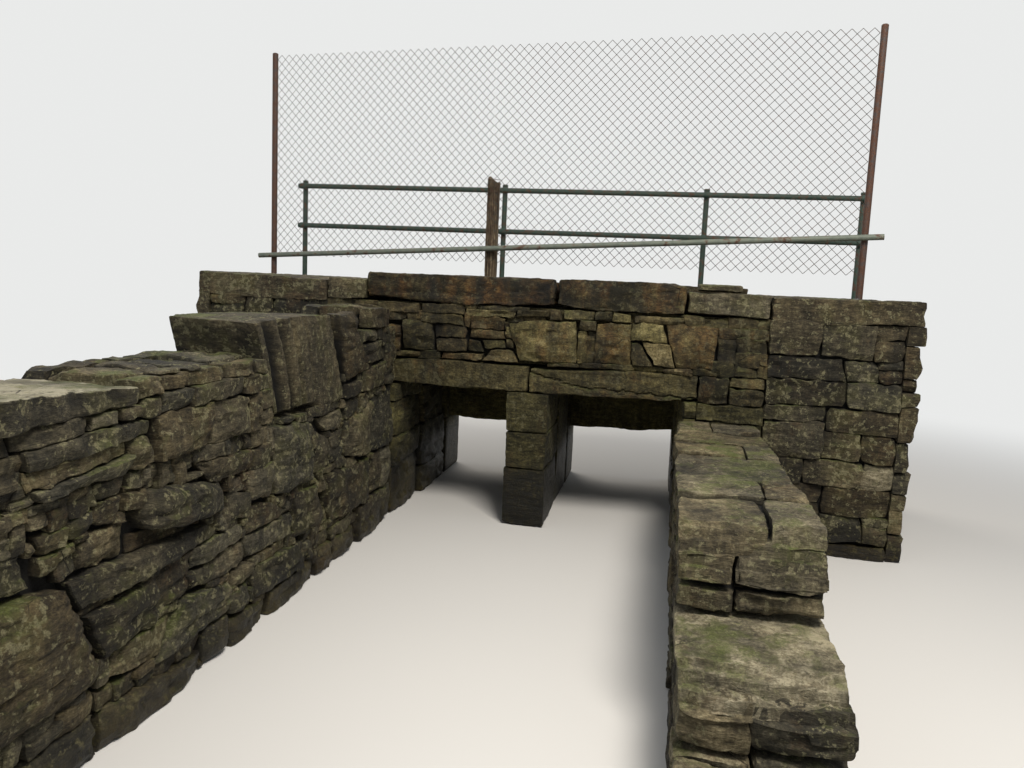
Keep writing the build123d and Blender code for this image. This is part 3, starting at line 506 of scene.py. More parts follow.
def lay_stone(face, corners, chance, spacing, proud=0.0, swell=0.0, round_off=0.05, tone=None, rust=0.0,
              joint=0.001):
    """One stone. Corners run from the lower left anticlockwise, in metres along and up the face."""
    corners = np.array(corners, float)
    wide = np.linalg.norm((corners[1] + corners[2] - corners[0] - corners[3]) / 2)
    tall = np.linalg.norm((corners[3] + corners[2] - corners[0] - corners[1]) / 2)
    corners = corners + np.array([[1, 1], [-1, 1], [-1, -1], [1, -1]]) * joint
    cells = cells_along(wide, spacing), cells_along(tall, spacing)
    mesh = blank(cells[0], SIDE_CELLS, cells[1], open_back=True).copy()
    a, c, b = points_of(mesh).T
    a = crisp(a, cells[0], ARRIS / wide)
    b = crisp(b, cells[1], ARRIS / tall)
    seed = int(chance.integers(0, 9999))

    # Corners are cut and arrises bitten, which moves the points along the face.
    rim = np.stack([a * wide, b * tall, np.zeros_like(a)], 1)
    loss = [min(BITTEN, BITTEN_SHARE * side) for side in (wide, tall)]
    left, right = (bites(rim * (0, 1, 0), loss[0], seed + n) / wide for n in (0, 2))
    below, above = (bites(rim * (1, 0, 0), loss[1], seed + n) / tall for n in (4, 6))
    p, q = 2 * a - 1, 2 * b - 1
    cut = np.ones_like(a)
    for side, level in ((-1, -1), (1, -1), (1, 1), (-1, 1)):
        corner = ((1 + side * p) / 2 * (1 + level * q) / 2) ** 4
        cut -= corner * round_off * chance.uniform(0.0, CORNER_CUT)
    a2 = left + (p * cut + 1) / 2 * (1 - left - right)
    b2 = below + (q * cut + 1) / 2 * (1 - below - above)
    weights = np.stack([(1 - a2) * (1 - b2), a2 * (1 - b2), a2 * b2, (1 - a2) * b2], 1)
    along, height = (weights @ corners).T

    # The front falls back, leans and swells. Its depth fades out along the stone's sides to the flat back.
    centre = corners.mean(0)
    fall = split_relief(along - centre[0], height - centre[1], max(wide, tall), chance, 1.0)
    fall = fall + broken_beds(face.points(along, height, np.zeros_like(along)), 1.0, seed)
    lean = chance.uniform(-LEAN, LEAN, 2)
    tilt = (along - centre[0]) * lean[0] + (height - centre[1]) * lean[1]
    bulge = swell * (1 - p**6) * (1 - q**6)
    edge = np.minimum(np.minimum(a, 1 - a) * wide, np.minimum(b, 1 - b) * tall)
    front = proud + np.maximum(fall + tilt, -DEEPEST_FALL * SKIN) + bulge - ARRIS * (edge < ARRIS / 2)
    out = front + (-SKIN - front) * c**SIDE_FADE
    set_values(mesh, tone=chance.uniform(-0.3, 0.8) if tone is None else tone, warm=chance.uniform(0.0, 1.0),
               rust=rust, recess=0.0)
    return to_object("stone", mesh, face.points(along, height, out))


def core(low, high, inset):
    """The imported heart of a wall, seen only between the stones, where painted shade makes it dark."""
    low, high = np.array(low) + inset, np.array(high) - inset
    mesh = blank(*(cells_along(side, CORE_SPACING) for side in high - low)).copy()
    set_values(mesh, tone=0.2, warm=0.5, rust=0.0, recess=0.0)
    return to_object("core", mesh, low + points_of(mesh) * (high - low))

# %% [markdown]
# A dry stone wall is laid from the bottom up. Each stone goes on the lowest open stretch, and no wider
# than it. The function keeps the height of the wall in narrow columns and does the same. A gentle warp
# over the whole face then makes beds waver and joints lean, and neighbours still fit. Where stones
# are placed one by one, the same idea fills what is left between them with small pinning stones.


# %% Laying out a face
COLUMN = 0.01
WARP, WARP_MARGIN = 0.016, 0.10
LEVEL, LEAST_HEIGHT, MATCHED, NARROW, UNFILLED = 0.004, 0.06, 0.05, 0.16, 0.015


def waver(corner, size, shift):
    """Moves a corner by a smooth field that dies out at the face's border."""
    x, y = corner
    inside = min(x, size[0] - x, y, size[1] - y)
    hold = min(1.0, max(0.0, inside / WARP_MARGIN))
    dx = math.sin(5.1 * y + 2.3 * x + shift) + 0.6 * math.sin(11.7 * y - 4.0 * x + 2 * shift)
    dy = math.sin(4.3 * x + 1.9 * y + 3 * shift) + 0.6 * math.sin(9.1 * x - 6.0 * y + shift)
    return x + dx * WARP * hold, y + dy * WARP * 0.7 * hold


def laid_face(width, height, chance, wide=(0.22, 0.70), tall=(0.09, 0.27)):
    """Corners of the stones of a wall face, from the bottom up."""
    columns = max(1, round(width / COLUMN))
    top = np.zeros(columns)
    shift = chance.uniform(0, 6)
    stones = []
    while top.min() < height - UNFILLED:
        low = top.min()
        start = end = int(np.argmin(top))
        while end < columns and top[end] < low + LEVEL:
            end += 1
        room = (end - start) * COLUMN
        w = chance.uniform(*wide)
        if room < 1.45 * w or room - w < wide[0] * 0.6:
            w = room if room <= wide[1] * 1.2 else room / 2
        count = max(1, round(w / COLUMN))
        h = min(chance.uniform(*tall), max(LEAST_HEIGHT, w * 0.8))
        sides = [top[i] - low for i in (start - 1, end) if 0 <= i < columns]
        if sides and min(sides) > MATCHED and (abs(min(sides) - h) < MATCHED or room < NARROW):
            h = min(sides)
        if height - low - h < LEAST_HEIGHT:
            h = height - low
        box = rectangle(start * COLUMN, low, start * COLUMN + count * COLUMN, low + h)
        stones.append([waver(corner, (columns * COLUMN, height), shift) for corner in box])
        top[start : start + count] = low + h
    return stones


PIN_CELL, PIN_OVERLAP, PIN_SHAKE = 0.012, 0.006, 0.008


def pinning_stones(placed, low, high, chance, widest=0.24, tallest=0.11):
    """Small stones in what the placed stones leave open, found on a fine grid over the face."""
    across, up = (np.arange(low[n] + PIN_CELL / 2, high[n], PIN_CELL) for n in (0, 1))
    x, y = np.meshgrid(across, up)
    taken = np.zeros(x.shape, bool)
    for stone in placed:
        quad = np.array(stone, float)
        inside = np.ones(x.shape, bool)
        for start, end in zip(quad, np.roll(quad, -1, 0)):
            run = end - start
            side = run[0] * (y - start[1]) - run[1] * (x - start[0])
            inside &= side > -PIN_OVERLAP * np.linalg.norm(run)
        taken |= inside
    stones = []
    for row, column in np.ndindex(taken.shape):
        if taken[row, column]:
            continue
        limit = max(2, round(chance.uniform(0.5, 1) * widest / PIN_CELL))
        right = column
        while right < len(across) and not taken[row, right] and right - column < limit:
            right += 1
        limit = max(2, round(chance.uniform(0.5, 1) * tallest / PIN_CELL))
        over = row
        while over < len(up) and not taken[over, column:right].any() and over - row < limit:
            over += 1
        taken[row:over, column:right] = True
        if right - column >= 2 and over - row >= 2:
            box = rectangle(across[column] - PIN_CELL / 2, up[row] - PIN_CELL / 2,
                            across[right - 1] + PIN_CELL / 2, up[over - 1] + PIN_CELL / 2)
            stones.append(box + chance.uniform(-PIN_SHAKE, PIN_SHAKE, (4, 2)))
    return stones


print("faces can be laid out")

# %% [markdown]
# A finished wall is its stones and its heart joined as one mesh. Displacement with cloud patterns of
# three sizes then breaks every straight line, and shading stays sharp only where faces meet at an angle.


# %% Finishing a piece
# Between these depths under the imported surface, the painted shade in joints and hollows grows from none to
# full.
OPEN_DEPTH, DARK_DEPTH = 0.016, 0.055
COARSE, MEDIUM, FINE = (0.16, 0.024), (0.045, 0.005), (0.016, 0.0035)
SHARP = math.radians(24)
TOTAL = []


def only(piece):
    """Makes one object the selected and active one."""
    bpy.ops.object.select_all(action="DESELECT")
    piece.select_set(True)
    bpy.context.view_layer.objects.active = piece


def join(pieces, name):
    """Joins objects into one, under a name."""
    only(pieces[0])
    for piece in pieces:
        piece.select_set(True)
    bpy.ops.object.join()
    whole = bpy.context.object
    whole.name = whole.data.name = name
    return whole


def weather(piece, *sizes):
    """Pushes the surface about by cloud patterns: pairs of a pattern size and a reach, in metres."""
    only(piece)
    for size, reach in sizes:
        pattern = bpy.data.textures.new(f"clouds_{round(size / MM)}_mm", "CLOUDS")
        pattern.noise_scale = size
        pattern.noise_depth = 2
        pattern.cloud_type = "COLOR"
        push = piece.modifiers.new("weather", "DISPLACE")
        push.texture = pattern
        push.texture_coords = "LOCAL"
        push.direction = "RGB_TO_XYZ"
        push.strength = reach
        push.mid_level = 0.5
        bpy.ops.object.modifier_apply(modifier=push.name)


def bury(piece, nodes):
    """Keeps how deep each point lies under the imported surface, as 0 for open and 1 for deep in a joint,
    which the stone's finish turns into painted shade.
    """
    corners, faces = [], []
    for node in nodes:
        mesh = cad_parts[node].data
        start = len(corners)
        corners += [vertex.co.copy() for vertex in mesh.vertices]
        faces += [[start + corner for corner in face.vertices] for face in mesh.polygons]
    surface = BVHTree.FromPolygons(corners, faces)
    depth = np.zeros(len(piece.data.vertices))
    for vertex in piece.data.vertices:
        place, normal, _, reach = surface.find_nearest(vertex.co)
        if (vertex.co - place).dot(normal) < 0:
            depth[vertex.index] = reach
    set_values(piece.data, recess=np.clip((depth - OPEN_DEPTH) / (DARK_DEPTH - OPEN_DEPTH), 0, 1))


def finish(piece, nodes, material, slot):
    """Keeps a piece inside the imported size, smooths its shading, and gives it its finish and its body."""
    piece.data.vertices.foreach_set("co", np.clip(points_of(piece.data), CAD_LOW, CAD_HIGH).ravel())
    piece.data.update()
    piece.data.materials.clear()
    piece.data.materials.append(material)
    if "recess" in piece.data.attributes:
        bury(piece, nodes)
    only(piece)
    bpy.ops.object.shade_smooth_by_angle(angle=SHARP)
    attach(piece, "root")
    if nodes:
        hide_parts(*nodes)
    triangles = sum(len(p.vertices) - 2 for p in piece.data.polygons)
    TOTAL.append(triangles)
    print(f"{piece.name}: {triangles} triangles, {sum(TOTAL)} so far")

# %% [markdown]
# The left wing wall is the largest thing in view. Its stones are placed one by one, in metres back from
# the headwall and up from the water: a huge boulder and long tapering slabs near the camera, big
# squared blocks farther on, with a wavering dark bed between them. Small pinning stones fill the rest.

# %% Stones of the left wing wall, lower courses
def in_metres(row):
    """The four corners that start a row, from the lower left anticlockwise."""
    return [(row[n] / 1000, row[n + 1] / 1000) for n in (0, 2, 4, 6)]


def read_stones(*rows):
    """Rows in millimetres: four corners, how proud, how much swell. A tone and a share of rust may follow."""
    return [(in_metres(row), row[8] / 1000, row[9] / 1000, *row[10:]) for row in rows]


LEFT_STONES = read_stones(
    (-4120, 290, -3340, 290, -3550, 720, -4120, 800, 4, 45, 0.1),
    (-3440, 595, -2520, 615, -2620, 685, -3510, 725, 4, 10),
    (-3330, 360, -3020, 370, -3000, 570, -3420, 560, 4, 12),
    (-3010, 400, -2780, 420, -2720, 600, -2990, 580, -22, 10),
    (-2720, 500, -2300, 510, -2320, 600, -2700, 600, -22, 8),
    (-2750, 400, -2220, 370, -2200, 490, -2720, 480, -31, 8),
    (-3300, 270, -3040, 215, -2840, 370, -3260, 350, -19, 0),
    (-3030, 200, -2440, 200, -2440, 335, -2820, 390, 4, 10),
    (-2420, 290, -2210, 285, -2200, 360, -2380, 355, -6, 20),
    (-2420, 160, -2230, 145, -2220, 270, -2420, 260, -16, 20),
    (-2200, 160, -1660, 145, -1580, 285, -2200, 330, 4, 6),
    (-3760, 0, -3400, 0, -3400, 170, -3720, 170, -10, 15),
    (-3380, 0, -2700, 0, -2680, 100, -3360, 165, 4, 12),
    (-2660, 20, -2440, 0, -2440, 170, -2660, 190, -13, 20),
    (-2430, 0, -2060, 0, -2060, 110, -2420, 140, -10, 15),
    (-2040, 0, -1450, 0, -1460, 130, -2040, 130, -6, 10),
    (-3460, 745, -3170, 715, -3170, 865, -3440, 850, -34, 10),
    (-3150, 790, -2450, 700, -2500, 850, -3060, 965, 4, 50),
    (-3140, 710, -2640, 700, -2640, 740, -3140, 780, -45, 0),
    (-2580, 865, -2220, 845, -2220, 960, -2700, 985, -10, 6),
    (-2420, 630, -2240, 620, -2220, 750, -2420, 770, -22, 10),
    (-2260, 700, -1980, 640, -1980, 850, -2220, 850, -10, 15),
    (-2260, 520, -1770, 510, -1980, 610, -2260, 670, -28, 8),
    (-2250, 385, -1760, 375, -1760, 500, -2250, 495, -22, 10),
    (-3620, 860, -3520, 870, -3460, 920, -3640, 930, -19, 10),
    (-3500, 875, -3380, 885, -3360, 950, -3480, 940, -22, 8),
    (-3360, 900, -3240, 870, -3200, 960, -3360, 975, -13, 10),
    (-3200, 900, -3050, 875, -3060, 955, -3180, 960, -16, 15),
    (-4120, 820, -3660, 760, -3700, 890, -4120, 970, -25, 10),
    (-1970, 650, -1500, 630, -1520, 990, -1950, 1030, 4, 20),
    (-1480, 630, -1200, 660, -1220, 830, -1440, 930, -16, 12),
    (-1280, 885, -1050, 860, -1000, 985, -1380, 985, -22, 12),
    (-1490, 1000, -1020, 1000, -1020, 1070, -1480, 1060, -19, 0),
    (-970, 660, -520, 590, -500, 990, -980, 840, 4, 12),
    (-500, 585, 0, 585, 0, 1040, -480, 990, -22, 6),
    (-980, 900, -740, 955, -700, 1040, -980, 1040, -22, 10),
    (-1740, 335, -1280, 320, -1420, 585, -1740, 600, 4, 10),
    (-1240, 290, -520, 265, -500, 560, -1280, 610, 4, 12),
    (-500, 280, -260, 270, -260, 560, -480, 550, -22, 6),
    (-250, 270, 0, 270, 0, 565, -240, 560, -22, 6),
    (-1430, 0, -1190, 0, -1190, 160, -1430, 170, -6, 20),
    (-1180, 0, -760, 0, -780, 150, -1180, 150, -10, 20),
    (-750, 0, -260, 0, -260, 250, -740, 250, 4, 12),
    (-250, 0, 0, 0, 0, 255, -250, 250, -22, 8),
)
LEFT_HOLES = [in_metres(row) for row in (
    (-3680, 915, -3600, 905, -3600, 955, -3670, 960),
    (-3220, 985, -3150, 985, -3150, 1050, -3220, 1050),
    (-1780, 245, -1600, 295, -1600, 325, -1780, 275),
    (-3620, 730, -3540, 740, -3550, 790, -3610, 790),
)]
print(len(LEFT_STONES), "stones placed by hand in the lower left wall")

# %% [markdown]
# Cells are finest where the eye comes closest, so the spacing grows with the distance from the camera.


# %% Building a wall from its faces
SPACING_SHARE = 0.0040
UNSEEN_SPACING, END_SPACING = 0.030, 0.022
COURSED_PROUD = 0.012
HEART = (0.07, 0.07, 0.0)


def spacing_at(face, corners, finest=0.009, widest=0.022):
    """The cell size for a stone: a fixed share of its distance from the camera, within limits."""
    middle = np.array(corners, float).mean(0)
    place = face.points([middle[0]], [middle[1]], [0.0])[0]
    return min(widest, max(finest, SPACING_SHARE * (Vector(place) - EYE).length))


def placed_face(face, placed, low, high, chance, joint=-0.005, holes=(), rust=(0, 0.4)):
    """Stones placed one by one, with pinning stones between them. Holes stay open."""
    laid = []
    for corners, proud, swell, *look in placed:
        tone, stain = (*look, None, None)[:2]
        laid.append(lay_stone(face, corners, chance, spacing_at(face, corners), proud=proud, swell=swell,
                              round_off=0.015 + 1.3 * swell, joint=joint, tone=tone,
                              rust=chance.uniform(*rust) if stain is None else stain))
    for corners in pinning_stones([stone[0] for stone in placed] + list(holes), low, high, chance):
        laid.append(lay_stone(face, corners, chance, spacing_at(face, corners), joint=joint - 0.004,
                              proud=chance.uniform(-0.030, -0.008), swell=0.002,
                              rust=chance.uniform(*rust)))
    return laid


def coursed_face(face, width, height, chance, spacing=UNSEEN_SPACING, rust=(0, 0.5), wide=(0.22, 0.70),
                 tall=(0.09, 0.27), lean=(0, 0), joint=0.001):
    """A face laid by the rule of the lowest open stretch. Lean moves the tops of its two ends along."""
    laid = []
    for corners in laid_face(width, height, chance, wide, tall):
        corners = np.array(corners)
        share = corners[:, 0] / width
        corners[:, 0] += corners[:, 1] / height * (lean[0] * (1 - share) + lean[1] * share)
        proud = chance.uniform(-COURSED_PROUD, COURSED_PROUD)
        laid.append(lay_stone(face, corners, chance, spacing, proud=proud, swell=chance.uniform(0, 0.010),
                              rust=chance.uniform(*rust), joint=joint))
    return laid


def clad(node, sides, chance, **habits):
    """Stones over the named sides of a node's box. Long sides come first, and ends fit between."""
    low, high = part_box(node)
    size = high - low
    trim_left, trim_right = (SKIN if side in sides else 0 for side in ("left", "right"))
    between = size.x - trim_left - trim_right
    faces = {
        "left": (Face((low.x, high.y, low.z), (0, -1, 0)), size.y),
        "right": (Face((high.x, low.y, low.z), (0, 1, 0)), size.y),
        "front": (Face((low.x + trim_left, low.y, low.z), (1, 0, 0)), between),
        "rear": (Face((high.x - trim_right, high.y, low.z), (-1, 0, 0)), between),
    }
    stones = [core(low, high, HEART)]
    for side in sides:
        stones += coursed_face(*faces[side], size.z, chance, joint=-0.004, **habits)
    return stones


print("walls can be built")

# %% Left wing wall, lower courses
low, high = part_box("left_wing_wall")
chance = np.random.default_rng(11)
channel_side = Face((LEFT_X, HEAD_Y, 0), (0, 1, 0))
length = high.y - low.y
NEAR_PART = -4.12
NEAR_SPACING = 0.014
stones = placed_face(channel_side, LEFT_STONES, (NEAR_PART, 0), (0, high.z), chance, holes=LEFT_HOLES)
stones += [lay_stone(channel_side, np.array(corners) + (-length, 0), chance, NEAR_SPACING,
                     proud=chance.uniform(-0.01, 0.02), swell=0.01)
           for corners in laid_face(length + NEAR_PART, high.z, chance, wide=(0.09, 0.18))]
near_end = Face((low.x, low.y, 0), (1, 0, 0))
stones += coursed_face(near_end, high.x - low.x - SKIN, high.z, chance, END_SPACING, wide=(0.2, 0.44))
back = Face((low.x, high.y, 0), (0, -1, 0))
stones += coursed_face(back, length - SKIN, high.z, chance)
stones.append(core(low, high, (0.09, 0.09, 0.0)))
left_wing = join(stones, "left_wing_masonry")
weather(left_wing, COARSE, MEDIUM, FINE)
finish(left_wing, ["left_wing_wall"], rubble_schist, "rubble_stone")

# %% Stones of the left wing wall, upper courses
NEAR_TOP_STONES = read_stones(
    (-3640, 1060, -3220, 1060, -3165, 1125, -3660, 1090, 20, 6),
    (-3180, 1060, -3030, 1055, -3040, 1180, -3180, 1180, 0, 10),
    (-3700, 1100, -3200, 1135, -3200, 1185, -3700, 1160, 10, 0),
    (-3700, 1170, -3050, 1190, -3050, 1245, -3700, 1235, 20, 0),
    (-3020, 1060, -2620, 1055, -2590, 1245, -3020, 1250, 16, 4),
    (-2605, 1055, -2260, 1055, -2260, 1240, -2580, 1240, 4, 3),
    (-2250, 1055, -2140, 1055, -2140, 1240, -2240, 1240, 0, 4),
    (-3750, 1245, -3400, 1250, -3380, 1310, -3740, 1310, 0, 0),
    (-3370, 1255, -3240, 1255, -3220, 1310, -3370, 1300, -10, 0),
    (-3220, 1260, -3090, 1260, -3100, 1310, -3220, 1310, 5, 5),
    (-2980, 1255, -2760, 1255, -2760, 1330, -2960, 1330, 8, 0),
    (-2750, 1255, -2300, 1255, -2320, 1340, -2750, 1340, -2, 0),
    (-2950, 1340, -2460, 1345, -2460, 1405, -2950, 1400, -8, 0),
    (-3085, 1258, -2990, 1258, -2970, 1325, -3085, 1320, -4, 0),
    (-3125, 1328, -2970, 1335, -2960, 1405, -3125, 1405, 0, 0),
    (-2450, 1345, -2190, 1345, -2190, 1405, -2450, 1405, -6, 0),
    (-2295, 1250, -2175, 1250, -2180, 1335, -2310, 1335, 2, 0),
    (-2130, 1055, -2005, 1055, -2005, 1140, -2130, 1140, -10, 2),
    (-2130, 1147, -1990, 1147, -2020, 1242, -2130, 1242, -4, 2),
    (-2165, 1250, -2030, 1250, -2060, 1330, -2168, 1330, -2, 0),
    (-2180, 1337, -2062, 1337, -2085, 1405, -2180, 1405, -8, 0),
)
STEP_STONES = read_stones(
    (-700, 1060, -220, 1060, -260, 1240, -660, 1200, 0, 10),
    (-1000, 1060, -720, 1060, -700, 1140, -980, 1140, 0, 10),
    (-980, 1160, -660, 1220, -860, 1620, -1100, 1600, 0, 4),
    (-620, 1250, -300, 1260, -300, 1400, -700, 1380, -10, 10),
    (-720, 1400, -400, 1410, -420, 1490, -740, 1490, -10, 6),
    (-540, 1500, -200, 1500, -200, 1630, -540, 1630, 0, 6),
)
print(len(NEAR_TOP_STONES) + len(STEP_STONES), "stones placed by hand in its upper courses")

# %% Left wing wall, upper courses
chance = np.random.default_rng(12)
stones = []
block_low, block_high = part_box("left_wing_tall_block")
BLOCK_LEAN = 0.20
BLOCK_PLACE = [(block_low.y + BLOCK_LEAN - HEAD_Y, block_low.z), (block_high.y - HEAD_Y, block_low.z),
               (block_high.y - BLOCK_LEAN - HEAD_Y, block_high.z), (block_low.y - HEAD_Y, block_high.z)]
UNDER_BLOCK = [(-1.99, 1.062), (-1.93, 1.062), (-1.95, 1.12), (-2.00, 1.12)]
UPPER_BED = 1.055
NEAR_TOP_END, NEAR_TOP_HEIGHT = -3.13, 0.265
first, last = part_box("left_wing_near_top")
stones += placed_face(channel_side, NEAR_TOP_STONES, (first.y - HEAD_Y, UPPER_BED),
                      (NEAR_TOP_END, first.z + NEAR_TOP_HEIGHT), chance)
open_low, open_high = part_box("left_wing_low_top")
stones += [lay_stone(channel_side, corners, chance, NEAR_SPACING, joint=0.003,
                     proud=chance.uniform(-0.03, 0.0), rust=chance.uniform(0, 0.5))
           for corners in pinning_stones([stone[0] for stone in NEAR_TOP_STONES] + [BLOCK_PLACE, UNDER_BLOCK],
                                         (open_low.y - HEAD_Y, open_low.z + 0.005),
                                         (open_high.y - HEAD_Y, open_high.z), chance)]
step_low, step_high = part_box("left_wing_low_step")
stones += placed_face(channel_side, STEP_STONES, (step_low.y - HEAD_Y, UPPER_BED), (0, step_high.z), chance,
                      holes=[BLOCK_PLACE])
near_end = Face((first.x, first.y, first.z), (1, 0, 0))
stones += coursed_face(near_end, last.x - first.x - SKIN, last.z - first.z, chance, END_SPACING)
block_slope = BLOCK_LEAN / (block_high.z - block_low.z)
UPPER_NODES = ["left_wing_near_top", "left_wing_low_top", "left_wing_low_step", "left_wing_high_step"]
for node in UPPER_NODES:
    low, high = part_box(node)
    tall = high.z - low.z
    length = high.y - (block_high.y if node == "left_wing_low_step" else low.y)
    lean = {"left_wing_low_top": (block_slope * tall, 0), "left_wing_low_step": (0, block_slope * tall)}
    back = Face((low.x, high.y, low.z), (0, -1, 0))
    stones += coursed_face(back, length, tall, chance, lean=lean.get(node, (0, 0)))
    stones.append(core(low, high, 0.085))
for node in UPPER_NODES[1:]:
    low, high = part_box(node)
    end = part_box("left_wing_high_step")[0].y if node == "left_wing_low_step" else high.y
    top = Face((low.x + SKIN, low.y, high.z), (1, 0, 0), (0, 1, 0))
    stones += coursed_face(top, high.x - low.x - 2 * SKIN, end - low.y, chance, END_SPACING, tall=(0.16, 0.4))
left_upper = join(stones, "left_wing_upper_masonry")
weather(left_upper, COARSE, MEDIUM, FINE)
finish(left_upper, UPPER_NODES, rubble_schist, "rubble_stone")

# %% [markdown]
# Lintels, copings, piers and slabs are single dressed blocks. Each starts from its node's box as a cube in
# cells. Its arrises are rounded as wear leaves them, its front may be shaped by a formula of its own, and
# gentler clouds roughen it, because a dressed face is flatter than a split one.


# %% Dressed blocks
CHIP_SIZES, CHIP_START = (0.07, 0.022), 0.72
LEAST_WEAR, CHIP_WEAR = 0.25, 3.0
DEEPEST_SHARE = 0.12


def squared_stone(name, box, spacing, chance, wear=0.010, split=0.35, rust=0.5, tone=None, shape=None,
                  gap=0.0015):
    """One squared stone in a box. Shape may move its points, given them and their unit places."""
    low, high = (np.array(side) for side in box)
    low, high = low + gap, high - gap
    size = high - low
    cells = [cells_along(side, spacing) for side in size]
    mesh = blank(*cells).copy()
    unit = points_of(mesh)
    unit = np.stack([crisp(unit[:, n], cells[n], wear / size[n]) for n in range(3)], 1)
    point = low + unit * size
    seed = int(chance.integers(0, 9999))
    chips = clouds(point, CHIP_SIZES[0], seed) + 0.5 * clouds(point, CHIP_SIZES[1], seed + 1)
    worn = (wear * (LEAST_WEAR + CHIP_WEAR * np.clip(chips - CHIP_START, 0, 1) ** 0.8))[:, None]
    inner = np.clip(point, low + worn, high - worn)
    away = point - inner
    length = np.linalg.norm(away, axis=1, keepdims=True)
    point = inner + away / np.maximum(length, 1e-9) * np.minimum(length, worn)
    middle = (low + high) / 2
    for side in (0, 1):
        for axis, (across, up) in ((1, (0, 2)), (0, (1, 2)), (2, (0, 1))):
            relief = split_relief(point[:, across] - middle[across], point[:, up] - middle[up],
                                  max(size[across], size[up]), chance, split)
            relief = np.maximum(relief, -DEEPEST_SHARE * size[axis])
            relief = relief + broken_beds(point, split, seed + 5 + axis + 3 * side)
            near = np.clip(1 - np.abs(unit[:, axis] - side) * 3, 0, 1)
            point[:, axis] += (-relief if side == 0 else relief) * near
    if shape is not None:
        point = shape(point, unit)
    set_values(mesh, tone=chance.uniform(0.2, 0.8) if tone is None else tone, warm=chance.uniform(0.2, 0.8),
               rust=rust, recess=0.0)
    return to_object(name, mesh, point)


def dressed_block(name, node, spacing, chance, material, slot, rough=(0.010, 0.005), **habits):
    """The stone that stands for one node, weathered and finished."""
    block = squared_stone(name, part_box(node), spacing, chance, **habits)
    weather(block, (0.20, rough[0]), (0.05, rough[1]), (0.016, rough[1] * 0.5))
    finish(block, [node], material, slot)
    return block


# %% [markdown]
# The long lintels carry the wall over the culverts. A layer has broken off the right one: below a crack
# that runs down to the right, its face stands out as a ledge. The copings are the rustiest stones.


# %% Lintels and copings
LEDGE_LINE = [(0.0, 1.19), (0.38, 1.102), (1.25, 1.068)]
LEDGE_DEPTH, LEDGE_RISE = 20 * MM, 7 * MM
CRACK_DEPTH, CRACK_HALF = 45 * MM, 9 * MM
# Each wave in the ledge's line: its height, and its turns in radians a metre.
LEDGE_WAVES = (0.006, 37), (0.004, 91)


def broken_ledge(point, unit):
    """The right lintel's face, set back above a wavering line, where a layer has split off."""
    line = np.interp(point[:, 0], *zip(*LEDGE_LINE))
    line += sum(height * np.sin(point[:, 0] * turns) for height, turns in LEDGE_WAVES)
    above = np.clip((point[:, 2] - line) / LEDGE_RISE, 0, 1)
    crack = np.clip(1 - abs(point[:, 2] - line) / CRACK_HALF, 0, 1)
    point[:, 1] += (LEDGE_DEPTH * above + CRACK_DEPTH * crack) * (unit[:, 1] < 0.1)
    return point


chance = np.random.default_rng(21)
RUSTY = {"material": rusty_schist, "slot": "dressed_stone"}
PLAIN = {"material": rubble_schist, "slot": "dressed_stone"}
dressed_block("lintel_left", "left_lintel", 0.016, chance, **RUSTY, rust=0.15, tone=0.45, split=0.3)
dressed_block("lintel_right", "right_lintel", 0.010, chance, **RUSTY, rust=0.25, tone=0.5, split=0.3,
              shape=broken_ledge)
for name, node, rust, tone in (("coping_left", "left_coping", 0.66, -0.35),
                               ("coping_right", "right_coping", 0.48, -0.2)):
    dressed_block(name, node, 0.016, chance, **RUSTY, rust=rust, tone=tone, split=0.5, wear=0.016)
dressed_block("end_stone_left", "left_end_stone", 0.02, chance, **PLAIN, rust=0.3)
dressed_block("end_stone_right", "right_end_stone", 0.02, chance, **PLAIN, rust=0.5)
dressed_block("end_slab", "right_end_slab", 0.016, chance, **PLAIN, rust=0.2)

# %% [markdown]
# Between lintels and copings the headwall is rubble: large rust-brown stones on the right, a dark
# broken hollow left of the middle, slivers on edge, and a thin course that levels the copings' bed.

# %% Stones of the headwall
HEADWALL_STONES = read_stones(
    (-1280, 1280, -1030, 1300, -1010, 1500, -1260, 1500, -10, 10, 0.2),
    (-1000, 1310, -740, 1320, -770, 1530, -1000, 1540, 4, 16, 0.0),
    (-730, 1310, -500, 1320, -490, 1420, -740, 1410, -6, 12, 0.2),
    (-740, 1420, -500, 1430, -500, 1510, -760, 1530, -16, 10, 0.1),
    (-1240, 1510, -980, 1550, -980, 1590, -1240, 1590, 0, 0),
    (-860, 1540, -520, 1520, -540, 1600, -860, 1600, 0, 6),
    (-480, 1330, -360, 1330, -400, 1400, -480, 1420, -6, 6),
    (-350, 1355, -190, 1365, -210, 1420, -380, 1405, -18, 4, 0.6),
    (-470, 1430, -200, 1435, -200, 1485, -460, 1500, -4, 4, 0.8),
    (-470, 1510, -210, 1500, -200, 1590, -460, 1600, 5, 0),
    (-700, 1265, -380, 1265, -360, 1305, -680, 1300, 5, 0),
    (-360, 1265, -80, 1265, -140, 1345, -300, 1340, 20, 8),
    (-70, 1275, 360, 1285, 340, 1595, -170, 1560, 20, 14, 0.9, 0.75),
    (366, 1290, 420, 1290, 415, 1520, 356, 1520, -2, 0),
    (424, 1290, 472, 1290, 492, 1520, 420, 1520, -10, 0),
    (360, 1530, 480, 1530, 480, 1600, 370, 1600, 10, 20),
    (475, 1290, 745, 1290, 735, 1585, 500, 1590, 10, 10, 0.8, 0.7),
    (760, 1290, 930, 1300, 800, 1460, 750, 1460, 0, 0),
    (940, 1300, 1070, 1290, 1020, 1460, 820, 1470, 12, 4, 1.0, 0.2),
    (750, 1475, 1010, 1475, 960, 1600, 745, 1600, 4, 6, 0.9, 0.3),
    (1090, 1290, 1340, 1300, 1360, 1600, 980, 1610, 5, 10, 0.7, 0.9),
)
